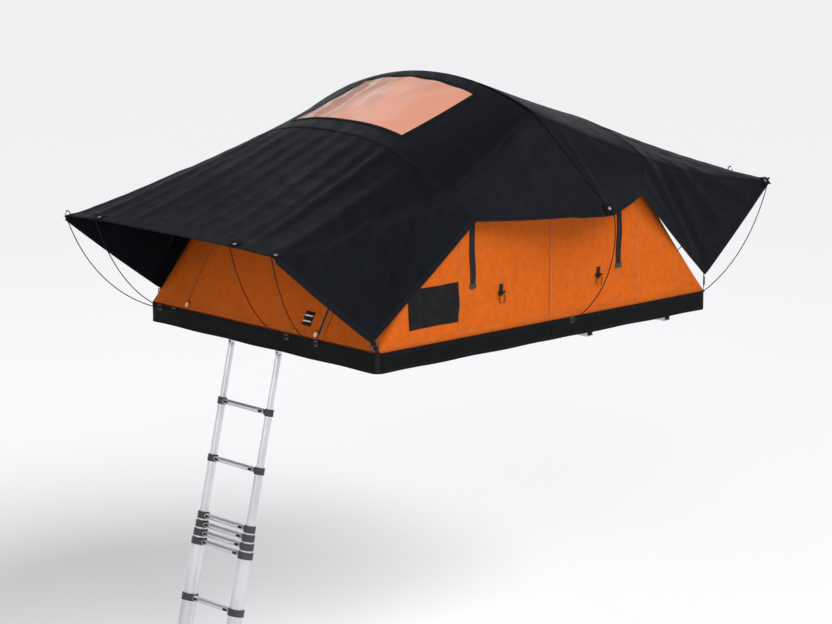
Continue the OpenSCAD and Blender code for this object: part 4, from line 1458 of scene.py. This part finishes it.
@dataclass
class Hardware:
    """The hard pieces, which keep the shape of the solid model and get their finish here."""

    finishes: Finishes

    def finish_of(self, node: str) -> bpy.types.Material:
        """The finish of a solid piece.

        Args:
            node: The piece's name.

        Returns:
            The material.
        """
        f = self.finishes
        rules = {
            "ladder_collars": f.collar,
            "ladder_button": f.button,
            "ladder_feet": f.rubber,
            "ladder_pivots": f.pin,
            "ladder": f.ladder,
            "hinge_pins": f.pin,
            "panel": f.board,
            "sockets": f.socket,
            "rods": f.rod,
            "bow": f.bow,
        }
        return next((finish for word, finish in rules.items() if word in node), f.frame)

    def dress(self) -> None:
        """Give every solid piece its finish."""
        for name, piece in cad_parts.items():
            finish = self.finish_of(name)
            if piece.data.materials:
                for k in range(len(piece.data.materials)):
                    piece.data.materials[k] = finish
            else:
                piece.data.materials.append(finish)
            LOG.info("%s: %s", name, finish.name)


@dataclass
class Studio:
    """Floor, light and camera."""

    finishes: Finishes
    eye: Point = (-10.34, -10.36, 2.893)
    yaw: float = 42.91
    pitch: float = 11.35
    lens: float = 116.8
    floor_size: float = 400.0
    ambient: float = 0.36
    horizon: float = 0.96
    sun: float = 2.15

    def build(self) -> None:
        """Build the floor, the lights and the camera."""
        scene = bpy.context.scene
        scene.view_settings.view_transform = "Standard"
        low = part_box("ladder_feet")[0]
        bpy.ops.mesh.primitive_plane_add(size=self.floor_size, location=(0, 0, low[2]))
        floor = bpy.context.object
        floor.name = "studio_floor"
        floor.data.materials.append(self.finishes.floor)
        scene.world = self.backdrop()
        lights = [
            self.lamp("sun", "SUN", self.sun, (4.0, -8.0, 9.0), (-0.2, -0.1, 0.8), 0.7),
            self.lamp("front_box", "AREA", 185.0, (-5.0, -7.0, 5.5), (-0.8, 0.0, 0.6), 4.0),
            self.lamp("back_box", "AREA", 45.0, (2.9, 6.5, 6.2), (-0.8, -0.1, 0.9), 3.0),
            self.lamp("end_fill", "AREA", 80.0, (-8.0, -1.5, 2.4), (-1.7, 0.0, 0.3), 2.5),
        ]
        data = bpy.data.cameras.new("camera")
        data.lens, data.sensor_width, data.sensor_fit = self.lens, 36.0, "HORIZONTAL"
        data.clip_end = 500.0
        camera = bpy.data.objects.new("camera", data)
        camera.location = self.eye
        camera.rotation_euler = (math.radians(90 - self.pitch), 0.0, math.radians(-self.yaw))
        scene.collection.objects.link(camera)
        scene.camera = camera

    def backdrop(self) -> bpy.types.World:
        """A pale surround, brightest along the horizon.

        Returns:
            The world.
        """
        world = bpy.data.worlds.new("studio")
        world.use_nodes = True
        tree = world.node_tree
        height = tree.nodes.new("ShaderNodeSeparateXYZ")
        tree.links.new(tree.nodes.new("ShaderNodeTexCoord").outputs["Generated"], height.inputs[0])
        ramp = tree.nodes.new("ShaderNodeValToRGB")
        low, high = ramp.color_ramp.elements
        low.position, low.color = 0.06, (self.horizon, self.horizon, self.horizon, 1.0)
        high.position, high.color = 0.36, (self.ambient, self.ambient, 1.03 * self.ambient, 1.0)
        tree.links.new(height.outputs[2], ramp.inputs[0])
        tree.links.new(ramp.outputs[0], tree.nodes["Background"].inputs["Color"])
        tree.nodes["Background"].inputs["Strength"].default_value = 1.0
        return world

    def lamp(
        self, name: str, kind: str, power: float, place: Point, aim: Point, size: float
    ) -> bpy.types.Object:
        """Add a light.

        Args:
            name: The light's name.
            kind: Type of light.
            power: Its strength.
            place: Where it stands.
            aim: The point it shines at.
            size: Its angle in radians for a sun, else its size in metres.

        Returns:
            The light's object.
        """
        data = bpy.data.lights.new(name, kind)
        data.energy = power
        if kind == "SUN":
            data.angle = size
        else:
            data.size = size
        made = bpy.data.objects.new(name, data)
        made.location = place
        made.rotation_euler = (Vector(aim) - Vector(place)).to_track_quat("-Z", "Y").to_euler()
        bpy.context.scene.collection.objects.link(made)
        return made


def fly_folds() -> list[Fold]:
    """Folds of the flysheet: a fan on each awning, and those of the wings and sides.

    Returns:
        The folds in the tent's frame.
    """
    # Place across at the bow and at the awning edge, height and width
    fans = (
        (-0.62, -0.80, 0.010, 0.045), (-0.45, -0.62, 0.013, 0.04), (-0.36, -0.53, 0.008, 0.03),
        (-0.24, -0.36, 0.011, 0.04), (-0.12, -0.2, 0.008, 0.03), (0.0, -0.06, 0.012, 0.04),
        (0.12, 0.1, 0.008, 0.03), (0.24, 0.27, 0.011, 0.04), (0.36, 0.46, 0.008, 0.03),
        (0.46, 0.6, 0.013, 0.04), (0.62, 0.78, 0.010, 0.045),
    )
    # Upper and lower end as distance from the hinge and height, then height and width of the fold
    wings = (
        ((0.70, 0.80), (1.17, 0.10), 0.012, 0.05), ((0.84, 0.72), (1.20, 0.12), -0.010, 0.04),
        ((0.98, 0.72), (1.40, 0.30), 0.010, 0.045), ((1.15, 0.66), (1.62, 0.44), 0.008, 0.035),
        ((0.66, 0.70), (1.02, 0.24), 0.008, 0.035),
    )
    sides = (
        ((-0.05, 1.02), (-0.52, 0.64), 0.006, 0.06), ((-0.02, 0.88), (-0.36, 0.61), 0.005, 0.045),
        ((0.16, 0.98), (0.17, 0.60), 0.006, 0.03), ((0.28, 0.92), (0.6, 0.65), 0.006, 0.05),
        ((0.22, 0.74), (0.5, 0.62), 0.005, 0.03),
    )
    folds = []
    for start, end, height, width in fans:
        folds.append(Fold(Plane.PLAN, (-0.70, start), (-1.79, end), 0.8 * height, width))
        folds.append(Fold(Plane.PLAN, (0.76, -0.9 * start), (1.77, -end), 0.6 * height, 1.2 * width))
    for side in (-1, 1):
        for sign in (-1, 1):
            for (x, z), (end_x, end_z), height, width in wings:
                folds.append(Fold(Plane.SIDE, (sign * x, z), (sign * end_x, end_z), height, width, side))
        folds += [Fold(Plane.SIDE, *row, side) for row in sides]
    return folds


def tent_folds() -> list[Fold]:
    """Folds of the inner tent's side walls and end wall.

    Returns:
        The folds in the tent's frame, for the fixed half.
    """
    walls = (
        ((0.03, 0.5), (0.02, -0.05), -0.006, 0.03), ((0.10, 0.45), (0.3, -0.02), 0.006, 0.05),
        ((0.45, 0.5), (0.75, 0.0), 0.007, 0.06), ((0.6, 0.5), (1.05, 0.02), 0.006, 0.05),
        ((0.3, 0.2), (0.9, 0.05), -0.005, 0.05),
    )
    folds = [Fold(Plane.SIDE, *row, side) for side in (-1, 1) for row in walls]
    places = (-0.7, -0.52, -0.2, 0.05, 0.3, 0.52, 0.76)
    return folds + [Fold(Plane.END, (y, 0.5), (y * 1.08, -0.02), 0.006, 0.05) for y in places]


def main() -> None:
    """Build the tent piece by piece, then the studio."""
    logging.basicConfig(level=logging.INFO, format="%(name)s %(message)s")
    finishes = Finishes()
    Hardware(finishes).dress()
    Flysheet(finishes, fly_folds()).build()
    for half in Half:
        tent = InnerTent(finishes, half, tent_folds())
        tent.build()
        Skirt(finishes, half).build()
        Webbing(finishes, tent).build()
        Mattress(finishes, half).build()
    Studio(finishes).build()


if __name__ == "__main__":
    main()
